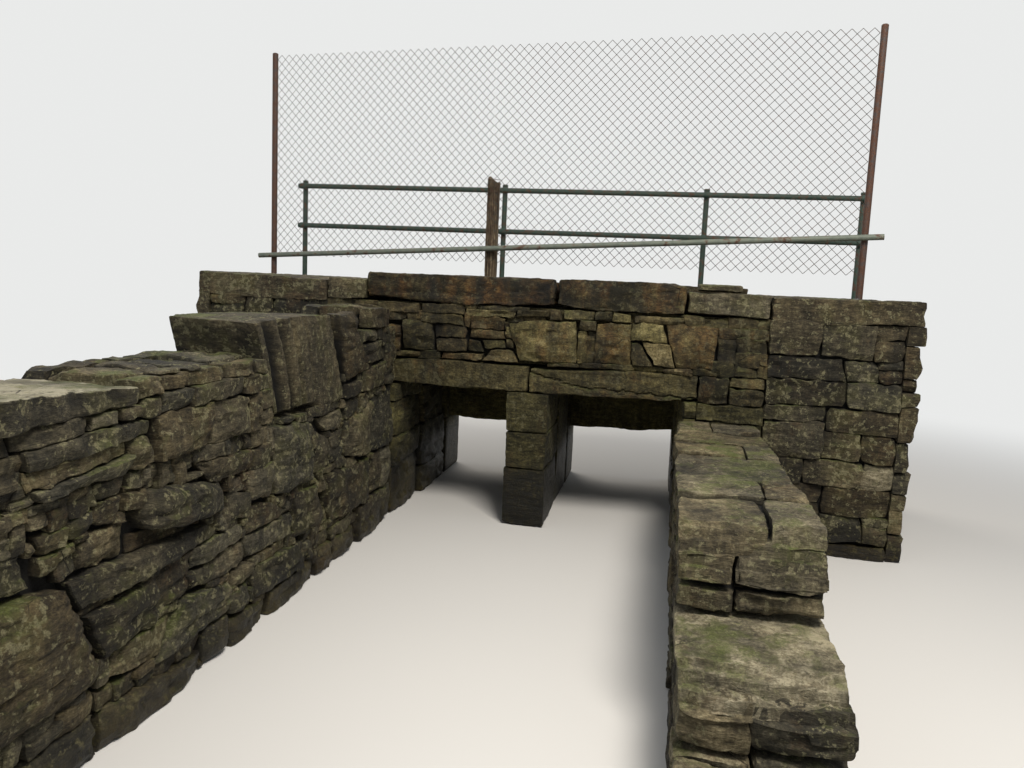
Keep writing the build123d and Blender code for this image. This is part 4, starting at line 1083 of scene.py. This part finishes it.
LEVELLING_STONES = read_stones(
    (-1220, 1600, -880, 1600, -880, 1665, -1220, 1665, 0, 0),
    (-860, 1610, -520, 1610, -520, 1670, -860, 1670, 0, 0),
    (-500, 1605, -140, 1605, -120, 1645, -500, 1640, 15, 0),
    (-420, 1650, -40, 1650, -20, 1672, -420, 1672, 0, 0),
    (-110, 1610, 130, 1620, 130, 1660, -100, 1645, 10, 0),
    (150, 1600, 220, 1600, 200, 1670, 150, 1670, 15, 6),
    (240, 1610, 460, 1610, 460, 1670, 240, 1665, -5, 0),
    (480, 1610, 600, 1610, 600, 1668, 480, 1668, 12, 4),
    (610, 1610, 740, 1610, 730, 1660, 610, 1665, 12, 4),
    (760, 1610, 1120, 1610, 1120, 1650, 760, 1650, 0, 0),
)
print(len(HEADWALL_STONES) + len(LEVELLING_STONES), "stones placed by hand in the headwall")

# %% Headwall
chance = np.random.default_rng(31)
head_face = Face((0, HEAD_Y, 0), (1, 0, 0))
low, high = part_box("left_rubble")[0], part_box("right_rubble")[1]
stones = placed_face(head_face, HEADWALL_STONES, (-1.62, LINTEL_TOP + 0.005), (1.72, high.z + 0.01), chance,
                     joint=-0.007, rust=(-0.1, 0.7))
stones += placed_face(head_face, LEVELLING_STONES, (-1.62, high.z + 0.01), (1.72, COPING_BED - 0.002), chance,
                      joint=-0.008, rust=(-0.1, 0.4))
stones.append(core((low.x, HEAD_Y, LINTEL_TOP), (high.x, high.y, COPING_BED), (0.0, 0.085, 0.0)))
for node in ("left_rubble", "right_rubble"):
    low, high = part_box(node)
    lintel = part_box(node.replace("rubble", "lintel"))
    ends = (low.x, lintel[0].x) if node.startswith("left") else (lintel[1].x, high.x)
    side = Face((ends[0], HEAD_Y, low.z), (1, 0, 0))
    stones += coursed_face(side, ends[1] - ends[0], LINTEL_TOP - low.z, chance, 0.02)
headwall = join(stones, "headwall_rubble")
weather(headwall, (0.16, 0.020), MEDIUM, FINE)
finish(headwall, ["left_rubble", "right_rubble", "levelling_course"], stained_schist, "rubble_stone")

# %% [markdown]
# The left wing wall carries two dressed stones. The cap near the camera is a thin slab with a broken
# front edge that shows its layers. The tall block leans back from the headwall and has broad upright
# flutes where it was split from its bed.


# %% The cap and the tall block
# Each wave along the cap's edge: its reach, its turns in radians a metre, and where it starts.
EDGE_WAVES = (0.014, 9.0, 0), (0.009, 31.0, 1)
EDGE_BACK, CAP_DIP, CAP_TURNS, CAP_LOWER = 0.012, 0.012, 4.0, 0.008


def broken_slab(point, unit):
    """A ragged edge towards the channel, a little lower at the near end."""
    ragged = sum(reach * np.sin(point[:, 1] * turns + start) for reach, turns, start in EDGE_WAVES)
    point[:, 0] += (ragged - EDGE_BACK) * np.clip(unit[:, 0] * 4 - 3, 0, 1)
    point[:, 2] += CAP_DIP * np.sin(point[:, 1] * CAP_TURNS) * unit[:, 2] - CAP_LOWER
    return point


# Each flute: its place and half width as shares of the face, and its depth.
FLUTES = [(0.115, 0.042, 55 * MM), (0.275, 0.034, 50 * MM), (0.40, 0.020, 22 * MM), (0.56, 0.016, 10 * MM)]
FOOT_HOLLOW, HOLLOW_DEPTH = 35 * MM, 100 * MM


def leaning_block(point, unit):
    """A block whose top lies nearer the camera than its foot, fluted and hollow at its nearer foot."""
    low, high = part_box("left_wing_tall_block")
    reach = high.y - low.y
    point[:, 1] = (low.y + (point[:, 1] - low.y) * (reach - BLOCK_LEAN) / reach
                   + BLOCK_LEAN * (1 - unit[:, 2]))
    along = (point[:, 1] - low.y - BLOCK_LEAN * (1 - unit[:, 2])) / (reach - BLOCK_LEAN)
    flutes = np.zeros_like(along)
    for place, half, depth in FLUTES:
        middle = place + 0.02 * np.sin(unit[:, 2] * 3.0)
        groove = depth * np.exp(-(((along - middle) / half) ** 2)) * (1.15 - 0.5 * unit[:, 2])
        flutes = np.maximum(flutes, groove)
    foot = np.clip(1.4 - (point[:, 2] - low.z) / FOOT_HOLLOW, 0, 1)
    foot *= np.clip((0.62 - along) / 0.12, 0, 1)
    point[:, 0] -= np.maximum(flutes, HOLLOW_DEPTH * foot) * (unit[:, 0] > 0.9)
    return point


chance = np.random.default_rng(22)
wing_cap = dressed_block("wing_cap", "left_wing_cap", 0.011, chance, **PLAIN, rust=0.0, split=0.25,
                         wear=0.008, shape=broken_slab, rough=(0.012, 0.007))
# Faces that look up get a pale grey tone, and the rest a dark one, as dark as the wall.
upward = points_of(wing_cap.data, "normal")[:, 2] > 0.6
set_values(wing_cap.data, tone=np.where(upward, 2.3, 0.1), warm=np.where(upward, -0.6, 0.3))
dressed_block("wing_tall_block", "left_wing_tall_block", 0.013, chance, **PLAIN, tone=0.35, rust=0.05,
              split=0.15, shape=leaning_block)

# %% [markdown]
# The pier that parts the culverts is three dressed blocks at its face, darker and smoother towards the
# water. Roof slabs and rear lintels are dressed too, but are only seen in the dark of the culverts.

# %% Pier, roof and crest
chance = np.random.default_rng(23)
DAMP = {"material": culvert_schist, "slot": "wet_stone"}
for name, tone in (("pier_base", -0.5), ("pier_middle", -0.15), ("pier_top", 0.05)):
    dressed_block(name, name + "_block", 0.016, chance, **DAMP, tone=tone, rust=0.25, split=0.2)
dressed_block("pier_inner_wall", "pier_body", 0.03, chance, **DAMP, rust=0.2, split=0.2)
for node in ("left_roof_slab", "right_roof_slab", "left_rear_lintel", "right_rear_lintel"):
    dressed_block(node + "_stone", node, 0.032, chance, **DAMP, rust=0.4)
for node in ("deck_slab_left", "deck_slab_middle", "deck_slab_right", "upstream_left_coping",
             "upstream_right_coping"):
    dressed_block(node + "_stone", node, 0.03, chance, **PLAIN, rust=0.4, split=0.4)

# %% [markdown]
# Jambs and pier noses have the upright slots that the stop logs slide in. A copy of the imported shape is
# remeshed finely and weathered, so that the slots stay where they are and their arrises wear.


# %% Slotted stones
SLOTTED_CELL, SAME_PLACE = 0.022, 1e-5
SLOTTED_REACH = 0.006
for node in ("left_jamb_lower", "left_jamb_upper", "right_jamb_lower", "right_jamb_upper",
             "pier_nose_lower", "pier_nose_upper"):
    slotted = to_object(node + "_stone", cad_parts[node].data.copy())
    only(slotted)
    bpy.ops.object.mode_set(mode="EDIT")
    bpy.ops.mesh.select_all(action="SELECT")
    bpy.ops.mesh.remove_doubles(threshold=SAME_PLACE)
    bpy.ops.mesh.normals_make_consistent(inside=False)
    bpy.ops.object.mode_set(mode="OBJECT")
    remesh = slotted.modifiers.new("cells", "REMESH")
    remesh.mode = "VOXEL"
    remesh.voxel_size = SLOTTED_CELL
    bpy.ops.object.modifier_apply(modifier=remesh.name)
    set_values(slotted.data, tone=chance.uniform(0.3, 0.6), rust=0.3, recess=0.0)
    weather(slotted, (0.20, SLOTTED_REACH), (0.05, SLOTTED_REACH * 0.7))
    finish(slotted, [node], **DAMP)

# %% [markdown]
# The right wing wall is a ruin that steps down towards the camera. Whole blocks make the broken near end
# of each step, and flat slabs as wide as the wall lie on top, one of them pale and overhanging. They are
# modelled on all sides, and rubble is fitted to them on the wall's two long faces. The near edge of each
# step is then broken down in layers to a slope, and the face is bent in to meet the headwall.

# %% Blocks and slabs of the right wing wall
# For each step, how far its near end is raked back and how far that end drops.
RIGHT_TIERS = {"right_wing_lower": (0.150, 0.120), "right_wing_middle": (0.210, 0.150),
               "right_wing_upper": (0.170, 0.230)}
TOP_SLAB, SLAB_THICKNESS = 0.10, (0.8, 1.1)
SLAB_REACH, SHORTEST_SLAB = (0.55, 1.0), 0.22
DIVIDED, DIVIDED_AT = 0.75, (0.4, 0.7)
BLOCK_HEIGHT, BLOCK_REACH, BLOCK_SPLIT = (0.08, 0.15), (0.24, 0.52), (0.36, 0.66)
BROKEN_LAYER = 45 * MM
BEND_START, BEND_END, BEND = 0.45, 1.0, 0.04


def slab_warp(point, unit):
    """Lets the joints between slabs waver, alike for all of them, so that neighbours still fit."""
    point[:, 1] += 0.030 * np.sin(7.0 * point[:, 0] + 2.0 * point[:, 1])
    point[:, 0] += 0.015 * np.sin(9.0 * point[:, 1] + 1.0) * np.clip(1 - 2 * abs(unit[:, 0] - 0.5), 0, 1)
    return point


def end_blocks(low, high, chance):
    """Boxes of the blocks at the near end of a step: in courses, whole or in two, and of uneven reach."""
    boxes = []
    bed = low[2]
    while bed < high[2] - 0.01:
        tall = chance.uniform(*BLOCK_HEIGHT)
        if high[2] - bed - tall < BLOCK_HEIGHT[0]:
            tall = high[2] - bed
        split_at = low[0] + (high[0] - low[0]) * chance.uniform(*BLOCK_SPLIT)
        for left, right in ((low[0], split_at), (split_at, high[0])):
            reach = chance.uniform(*BLOCK_REACH)
            boxes.append(((left, low[1], bed), (right, low[1] + reach, bed + tall)))
        bed += tall
    return boxes


def top_slabs(low, high, start, end, chance, longest):
    """Boxes of the slabs on top of a step, most as wide as the wall."""
    boxes = []
    while start < end - 0.02:
        reach = chance.uniform(*SLAB_REACH) * longest
        if end - start - reach < SHORTEST_SLAB:
            reach = end - start
        thick = chance.uniform(*SLAB_THICKNESS) * TOP_SLAB
        division = [low[0], high[0]]
        if chance.random() < DIVIDED:
            division.insert(1, low[0] + (high[0] - low[0]) * chance.uniform(*DIVIDED_AT))
        for left, right in zip(division, division[1:]):
            top = high[2] - chance.uniform(0, 0.02)
            boxes.append(((left, start, high[2] - thick), (right, start + reach, top)))
        start += reach
    return boxes


print(len(RIGHT_TIERS), "steps in the right wing wall")

# %% Right wing wall
chance = np.random.default_rng(41)
stones = []
RUIN_SET_BACK, RUIN_WEAR = 0.012, 0.012
LONGEST_SLAB, SLAB_BEDDED, OVERHANG, SLAB_LAP = 0.6, 0.85, 0.02, 0.22
RAKED_SHARE, LAYERED_SHARE, CRUMBLE = 0.15, 0.85, 0.014
LAYER_SIZE, CRUMBLE_SIZE = (0.10, 0.08, 0.5), 0.05
WIDEST_INFILL, TALLEST_INFILL = 0.75, 0.22
tiers = list(RIGHT_TIERS)
for tier, above in zip(tiers, [*tiers[1:], None]):
    low, high = (np.array(corner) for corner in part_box(tier))
    rake, drop = RIGHT_TIERS[tier]
    spacing = 0.018 if tier == "right_wing_upper" else 0.014
    body_top = high[2] - TOP_SLAB * SLAB_BEDDED
    inner = low + (RUIN_SET_BACK, 0, 0), np.array((high[0] - RUIN_SET_BACK, high[1], body_top))
    blocks = end_blocks(*inner, chance)
    tier_stones = [squared_stone("block", box, spacing, chance, wear=RUIN_WEAR, split=0.6, gap=-0.007,
                                 tone=chance.uniform(0.2, 0.9), rust=chance.uniform(0, 0.5))
                   for box in blocks]
    slab_start = low[1] + rake * (1 - TOP_SLAB / drop) - OVERHANG
    slab_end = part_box(above)[0].y + SLAB_LAP if above else high[1]
    for side, x in (("left", inner[0][0]), ("right", inner[1][0])):
        facing = -1 if side == "left" else 1
        face = Face((x, high[1] if side == "left" else low[1], low[2]), (0, facing, 0))
        length = high[1] - low[1]
        bed, top = body_top - low[2], high[2] - low[2]
        first, last = (high[1] - slab_end, length) if side == "left" else (0, slab_end - low[1])
        placed = [rectangle(first, bed, last, top)]
        for start, end in blocks:
            if abs((start if side == "left" else end)[0] - x) < 0.01:
                along = length - (end[1] - low[1]) if side == "left" else 0
                placed.append(rectangle(along, start[2] - low[2], along + end[1] - low[1], end[2] - low[2]))
        for corners in pinning_stones(placed, (0, 0), (length, top), chance, WIDEST_INFILL, TALLEST_INFILL):
            fine = spacing_at(face, corners, 0.012, 0.02) if side == "left" else UNSEEN_SPACING
            tier_stones.append(lay_stone(face, corners, chance, fine, proud=chance.uniform(-0.016, 0.008),
                                         joint=-0.002, rust=chance.uniform(0, 0.6)))
    for number, box in enumerate(top_slabs(low, high, slab_start, slab_end, chance, LONGEST_SLAB)):
        pale = tier == "right_wing_middle" and number == 0
        tier_stones.append(squared_stone("slab", box, spacing, chance, wear=RUIN_WEAR, split=0.45,
                                         tone=1.5 if pale else chance.uniform(0.6, 1.2), gap=0.002,
                                         rust=chance.uniform(0, 0.4), shape=slab_warp))
    tier_stones.append(core(low + (0, rake, 0), high, 0.06))
    whole = join(tier_stones, tier + "_stones")
    point = points_of(whole.data)
    fall = drop * np.clip(1 - (point[:, 1] - low[1]) / rake, 0, 1)
    layers = np.ceil(fall / BROKEN_LAYER - clouds(point, LAYER_SIZE, 5)) * BROKEN_LAYER
    fall = RAKED_SHARE * fall + LAYERED_SHARE * layers + CRUMBLE * clouds(point, CRUMBLE_SIZE, 5)
    point[:, 2] = np.minimum(point[:, 2], high[2] - fall)
    bend = np.clip((point[:, 1] - BEND_START) / (BEND_END - BEND_START), 0, 1)
    middle = (low[0] + high[0]) / 2
    point[:, 0] += BEND * bend * np.clip((middle - point[:, 0]) / (middle - low[0]), 0, 1)
    whole.data.vertices.foreach_set("co", point.ravel())
    stones.append(whole)
right_wing = join(stones, "right_wing_masonry")
weather(right_wing, (0.16, 0.018), MEDIUM, FINE)
finish(right_wing, tiers, rubble_schist, "rubble_stone")

# %% [markdown]
# The rest is rubble laid by rule: the abutments inside the culverts, the returns that reach into the
# banks, and the upstream face. No part of it is close to the camera.

# %% Abutments, returns and upstream face
chance = np.random.default_rng(42)
BIG = {"wide": (0.45, 1.0), "tall": (0.22, 0.42), "rust": (0.0, 0.5)}
for name, node, sides, finish_of, habits in (
    ("left_abutment_stone", "left_abutment", ["right"], DAMP, BIG),
    ("right_abutment_stone", "right_abutment", ["left", "front"], DAMP, BIG),
    ("left_return_masonry", "left_return", ["left", "front", "rear"], PLAIN, {}),
    ("right_return_masonry", "right_return", ["right", "front", "rear"], PLAIN, {}),
    ("upstream_masonry", "upstream_rubble", ["rear"], PLAIN, {}),
):
    wall = join(clad(node, sides, chance, **habits), name)
    weather(wall, COARSE, MEDIUM)
    finish(wall, [node], **finish_of)

# %% Return caps, each in three flat slabs
CAP_SUNK = 30 * MM
CAP_JOINTS = 0.62, 1.37
for node in ("left_return_cap", "right_return_cap"):
    low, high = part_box(node)
    cuts = [low.y, *(low.y + joint for joint in CAP_JOINTS), high.y]
    slabs = []
    for start, end in zip(cuts, cuts[1:]):
        box = ((low.x, start, low.z - CAP_SUNK), (high.x, end, high.z))
        slabs.append(squared_stone("slab", box, 0.022, chance, split=0.4, rust=chance.uniform(0.1, 0.6)))
    cap = join(slabs, node + "_stone")
    weather(cap, (0.20, 0.012), (0.05, 0.007))
    finish(cap, [node], **PLAIN)

# %% [markdown]
# The fence's wire is chain link with a mesh of about two inches. One zigzag wire is drawn up as a slim
# tube, its neighbour is its mirror image, and an array repeats the pair along the fence. Each wire
# only meets the next where they bend round each other.

# %% Fence and railing finishes
METAL_ROUGH = {"To Min": 0.45, "To Max": 0.8}
PIT_DEPTH = 0.6 * MM


def worn_metal(name, base, worn, rust_share, scale, metallic=0.0):
    """Paint or zinc over steel: the base colour, where it has worn, and brown rust in blotches."""
    material, tree = new_material(name)
    place = add(tree, "TexCoord", {}).outputs["Object"]
    blotch, fine = (
        add(tree, "TexNoise", {"Scale": 1 / size, "Detail": detail, "Roughness": rough, "Vector": place})
        for size, detail, rough in ((scale, 6, 0.65), (scale * 0.12, 4, 0.6)))
    both = add(tree, "Math", {"operation": "MULTIPLY_ADD", 0: fine, 1: 0.4, 2: blotch})
    faded = add(tree, "MapRange", {"Value": both, "From Min": 0.55, "From Max": 0.85})
    paint = add(tree, "Mix", {"data_type": "RGBA", 0: faded, 6: base, 7: worn}).outputs[2]
    start = 0.92 - 0.35 * rust_share
    rusty = add(tree, "MapRange", {"Value": both, "From Min": start, "From Max": start + 0.06})
    stops = [(0.35, "#2a1a13"), (0.55, "#4d2f1e"), (0.7, "#6e4a30")]
    brown = add(tree, "ValToRGB", {"stops": stops, 0: fine})
    colour = add(tree, "Mix", {"data_type": "RGBA", 0: rusty, 6: paint, 7: brown}).outputs[2]
    shine = add(tree, "MapRange", {"Value": both, **METAL_ROUGH})
    metal = add(tree, "MapRange", {"Value": rusty, "To Min": metallic, "To Max": 0.0})
    bump = add(tree, "Bump", {"Strength": 0.5, "Distance": PIT_DEPTH, "Height": both})
    shader = add(tree, "BsdfPrincipled", {"Base Color": colour, "Roughness": shine, "Metallic": metal,
                                          "Normal": bump})
    add(tree, "OutputMaterial", {"Surface": shader})
    return material


# Dark green paint gone dull, bare steel that rusts all over, and zinc gone grey with the rust coming through.
green_paint = worn_metal("weathered_green_paint", "#22352c", "#3a4b41", 0.45, 0.05)
rusty_post = worn_metal("rusted_steel_post", "#382d29", "#473932", 0.8, 0.04)
grey_pipe = worn_metal("weathered_galvanised_pipe", "#5d645a", "#7a7f72", 0.45, 0.06, metallic=0.3)
dark_wire = worn_metal("tarnished_fence_wire", "#3b3d39", "#565850", 0.7, 0.03, metallic=0.4)
RAILS = ["railing_top_rail", "railing_middle_rail"]
RAILING_POSTS = ["railing_post_left", "railing_post_second", "railing_post_third", "railing_post_right"]
for nodes, new_finish in ((RAILING_POSTS + RAILS, green_paint),
                          (["fence_post_left", "fence_post_right"], rusty_post),
                          (["fence_bottom_rail"], grey_pipe), (["crest_core"], rubble_schist)):
    for node in nodes:
        for material_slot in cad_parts[node].material_slots:
            material_slot.material = new_finish
print("new finishes on what stays as it was packed")

# %% [markdown]
# The rails are pipes that pass the posts on one side. Cast clamps hold them there: a sleeve round the
# rail, a band round the post, and a cap that keeps rain out of the post's top.


# %% Railing fittings
RING_SIDES, WORN_RIM = 20, 4 * MM
CAP_LIP, CAP_HEIGHT = 3 * MM, 22 * MM


def sleeve(place, turn, radius, length):
    """A short ring of cast iron round a pipe, with its rims worn round."""
    bpy.ops.object.select_all(action="DESELECT")
    bpy.ops.mesh.primitive_cylinder_add(vertices=RING_SIDES, radius=radius, depth=length, location=place,
                                        rotation=turn)
    ring = bpy.context.object
    bpy.ops.object.transform_apply()
    bpy.ops.object.mode_set(mode="EDIT")
    select_in_edit(ring, faces=lambda f: len(f.verts) > 4)
    bpy.ops.mesh.bevel(offset=WORN_RIM, segments=2, affect="EDGES")
    bpy.ops.object.mode_set(mode="OBJECT")
    return ring


ALONG, UPRIGHT = (0, math.pi / 2, 0), (0, 0, 0)
CLAMP, CLAMP_LENGTH = 5 * MM, 60 * MM
fittings = []
for post in RAILING_POSTS:
    post_low, post_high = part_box(post)
    post_middle, post_radius = (post_low + post_high) / 2, (post_high.x - post_low.x) / 2
    cap_place = (post_middle.x, post_middle.y, post_high.z)
    fittings.append(sleeve(cap_place, UPRIGHT, post_radius + CAP_LIP, CAP_HEIGHT))
    for rail in RAILS:
        rail_low, rail_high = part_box(rail)
        rail_middle, rail_radius = (rail_low + rail_high) / 2, (rail_high.z - rail_low.z) / 2
        fittings.append(sleeve((post_middle.x, rail_middle.y, rail_middle.z), ALONG, rail_radius + CLAMP,
                               CLAMP_LENGTH))
        fittings.append(sleeve((post_middle.x, post_middle.y, rail_middle.z), UPRIGHT, post_radius + CLAMP,
                               CLAMP_LENGTH * 0.7))
finish(join(fittings, "railing_clamps"), [], green_paint, "railing_green")

# %% [markdown]
# The middle post of the fence is a stub of old timber. Its sapwood has gone grey, long checks have opened
# along the grain, and its top has rotted to a ragged slope. Turns of tie wire near the top hold the mesh.

# %% Line of the fence
post_left, post_right = (sum(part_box("fence_post_" + side), Vector()) / 2 for side in ("left", "right"))
FENCE_ANGLE = math.atan2(post_right.y - post_left.y, post_right.x - post_left.x)
print("the fence turns", round(math.degrees(FENCE_ANGLE), 1), "degrees from the headwall")

# %% Old timber
def old_timber(name):
    """Oak that has weathered for decades: grey-brown fibres along the post and dark open checks."""
    material, tree = new_material(name)
    place = add(tree, "TexCoord", {}).outputs["Object"]
    grain = add(tree, "Mapping", {"Scale": (1, 1, 0.05), "Vector": place})
    # Fibres are under a millimetre wide on the real post, and are drawn ten times as coarse to show.
    fibre = add(tree, "TexNoise", {"Scale": 1 / 0.012, "Detail": 6, "Roughness": 0.7, "Vector": grain})
    stain = add(tree, "TexNoise", {"Scale": 1 / 0.12, "Detail": 6, "Roughness": 0.65, "Vector": place})
    shade = add(tree, "Math", {"operation": "MULTIPLY_ADD", 0: stain, 1: 0.6, 2: fibre})
    stops = [(0.55, "#1c1611"), (0.72, "#3d3227"), (0.86, "#5f5240"), (1.0, "#8b7f68")]
    colour = add(tree, "ValToRGB", {"stops": stops, 0: shade})
    check = add(tree, "TexNoise", {"noise_dimensions": "4D", "W": 4.0, "Scale": 1 / 0.03, "Detail": 3,
                                   "Vector": grain})
    open_check = add(tree, "MapRange", {"Value": check, "From Min": 0.62, "From Max": 0.68, "To Max": 0.9})
    colour = add(tree, "Mix", {"data_type": "RGBA", 0: open_check, 6: colour, 7: "#120e0a"}).outputs[2]
    height = add(tree, "Math", {"operation": "MULTIPLY_ADD", 0: open_check, 1: -0.8, 2: fibre})
    bump = add(tree, "Bump", {"Strength": 0.9, "Distance": 5 * MM, "Height": height})
    shader = add(tree, "BsdfPrincipled", {"Roughness": 0.93, "Specular IOR Level": 0.25, "Base Color": colour,
                                          "Normal": bump})
    add(tree, "OutputMaterial", {"Surface": shader})
    return material


oak = old_timber("weathered_oak")
print("timber's finish ready")

# %% Timber stub
ROUNDING = 0.28
CHECK_DEPTH, ROT_DEPTH = 7 * MM, 60 * MM
CHECK_SIZE, ROT_SIZE = (0.022, 0.022, 0.45), (0.03, 0.03, 0.5)
RAGGED_TOP, ROTTEN_FROM = 0.05, 0.8
stub_low, stub_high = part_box("fence_post_middle")
stub_middle = (stub_low + stub_high) / 2
stub_width = (stub_high.x - stub_low.x) / (math.cos(FENCE_ANGLE) + abs(math.sin(FENCE_ANGLE)))
mesh = blank(12, 12, 44).copy()
p, q, h = (points_of(mesh) * (2, 2, 1) - (1, 1, 0)).T
across = np.stack([p * np.sqrt(1 - ROUNDING * q * q), q * np.sqrt(1 - ROUNDING * p * p)], 1) * stub_width / 2
height = stub_low.z + h * (stub_high.z - stub_low.z)
solid = np.column_stack([across, height])
checks = np.clip(clouds(solid, CHECK_SIZE, 3) * 3 - 2.0, 0, 1)
across *= (1 - checks * CHECK_DEPTH / (stub_width / 2))[:, None]
rot = ROT_DEPTH * (0.5 + across[:, 0] / stub_width) + RAGGED_TOP * clouds(solid, ROT_SIZE, 4)
height = np.minimum(height, stub_high.z - rot * (h > ROTTEN_FROM))
turn = np.array([[math.cos(FENCE_ANGLE), math.sin(FENCE_ANGLE)],
                 [-math.sin(FENCE_ANGLE), math.cos(FENCE_ANGLE)]])
place = across @ turn + (stub_middle.x, stub_middle.y)
stub = to_object("timber_stub", mesh, np.column_stack([place, height]))
weather(stub, (0.10, 0.008), (0.03, 0.004))
finish(stub, ["fence_post_middle"], oak, "fence_timber")

# Each turn of tie wire: how far below the top it goes round, and how much it leans.
TIES = ((0.050, 0.10), (0.085, -0.06), (0.105, 0.05), (0.160, -0.12), (0.62, 0.10))
TIE_RADIUS = 2 * MM
ties = []
for turn_height, lean in TIES:
    bpy.ops.object.select_all(action="DESELECT")
    bpy.ops.mesh.primitive_torus_add(major_segments=28, minor_segments=5, major_radius=stub_width * 0.62,
                                     minor_radius=TIE_RADIUS, rotation=(lean, lean * 0.6, 0),
                                     location=(stub_middle.x, stub_middle.y, stub_high.z - turn_height))
    bpy.ops.object.transform_apply()
    ties.append(bpy.context.object)
finish(join(ties, "stub_wire_ties"), [], dark_wire, "fence_wire")

# %% Chain link
WIRE = 3.8 * MM
ROW = 36 * MM
TOP_CLEAR, FOOT_CLEAR = 0.01, 0.004


def zigzag_wire(low, rows, step, side):
    """One wire, drawn up row by row from a slim ring. Side is 1 or -1 for its first bend."""
    bpy.ops.object.select_all(action="DESELECT")
    bpy.ops.mesh.primitive_circle_add(vertices=4, radius=WIRE / 2, location=(0, 0, low), fill_type="NGON")
    wire = bpy.context.object
    bpy.ops.object.transform_apply()
    bpy.ops.object.mode_set(mode="EDIT")
    bpy.ops.mesh.select_all(action="SELECT")
    bpy.ops.transform.resize(value=(math.sqrt(2), 1, 1), center_override=(0, 0, low))
    for row in range(rows):
        move = (step * side * (1 if row % 2 == 0 else -1), 0, ROW)
        bpy.ops.mesh.extrude_region_move(TRANSFORM_OT_translate={"value": move})
    bpy.ops.mesh.select_all(action="SELECT")
    bpy.ops.mesh.normals_make_consistent(inside=False)
    bpy.ops.object.mode_set(mode="OBJECT")
    return wire


def chain_link(name, node):
    """A panel of woven wire in its node's place, along the line of the fence, in whole meshes."""
    low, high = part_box(node)
    rows = int((high.z - low.z - TOP_CLEAR) / ROW)
    length = (high.x - low.x - 2 * WIRE) / math.cos(FENCE_ANGLE)
    meshes = round(length / (2 * ROW))
    step = length / meshes / 2
    first, second = (zigzag_wire(low.z + FOOT_CLEAR, rows, step, side) for side in (1, -1))
    second.location.x = 2 * step
    pair = join([first, second], name)
    bpy.ops.object.transform_apply()
    array = pair.modifiers.new("along", "ARRAY")
    array.use_relative_offset = False
    array.use_constant_offset = True
    array.constant_offset_displace = (2 * step, 0, 0)
    array.count = meshes
    bpy.ops.object.modifier_apply(modifier=array.name)
    start = low.x + WIRE
    pair.location = (start, post_left.y + (start - post_left.x) * math.tan(FENCE_ANGLE), 0)
    pair.rotation_euler.z = FENCE_ANGLE
    only(pair)
    bpy.ops.object.transform_apply()
    finish(pair, [node], dark_wire, "fence_wire")


chain_link("chain_link_left", "fence_mesh_left")
chain_link("chain_link_right", "fence_mesh_right")

size = {"cad": [list(CAD_LOW), list(CAD_HIGH)], "visual": [list(corner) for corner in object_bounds()]}
print(size)
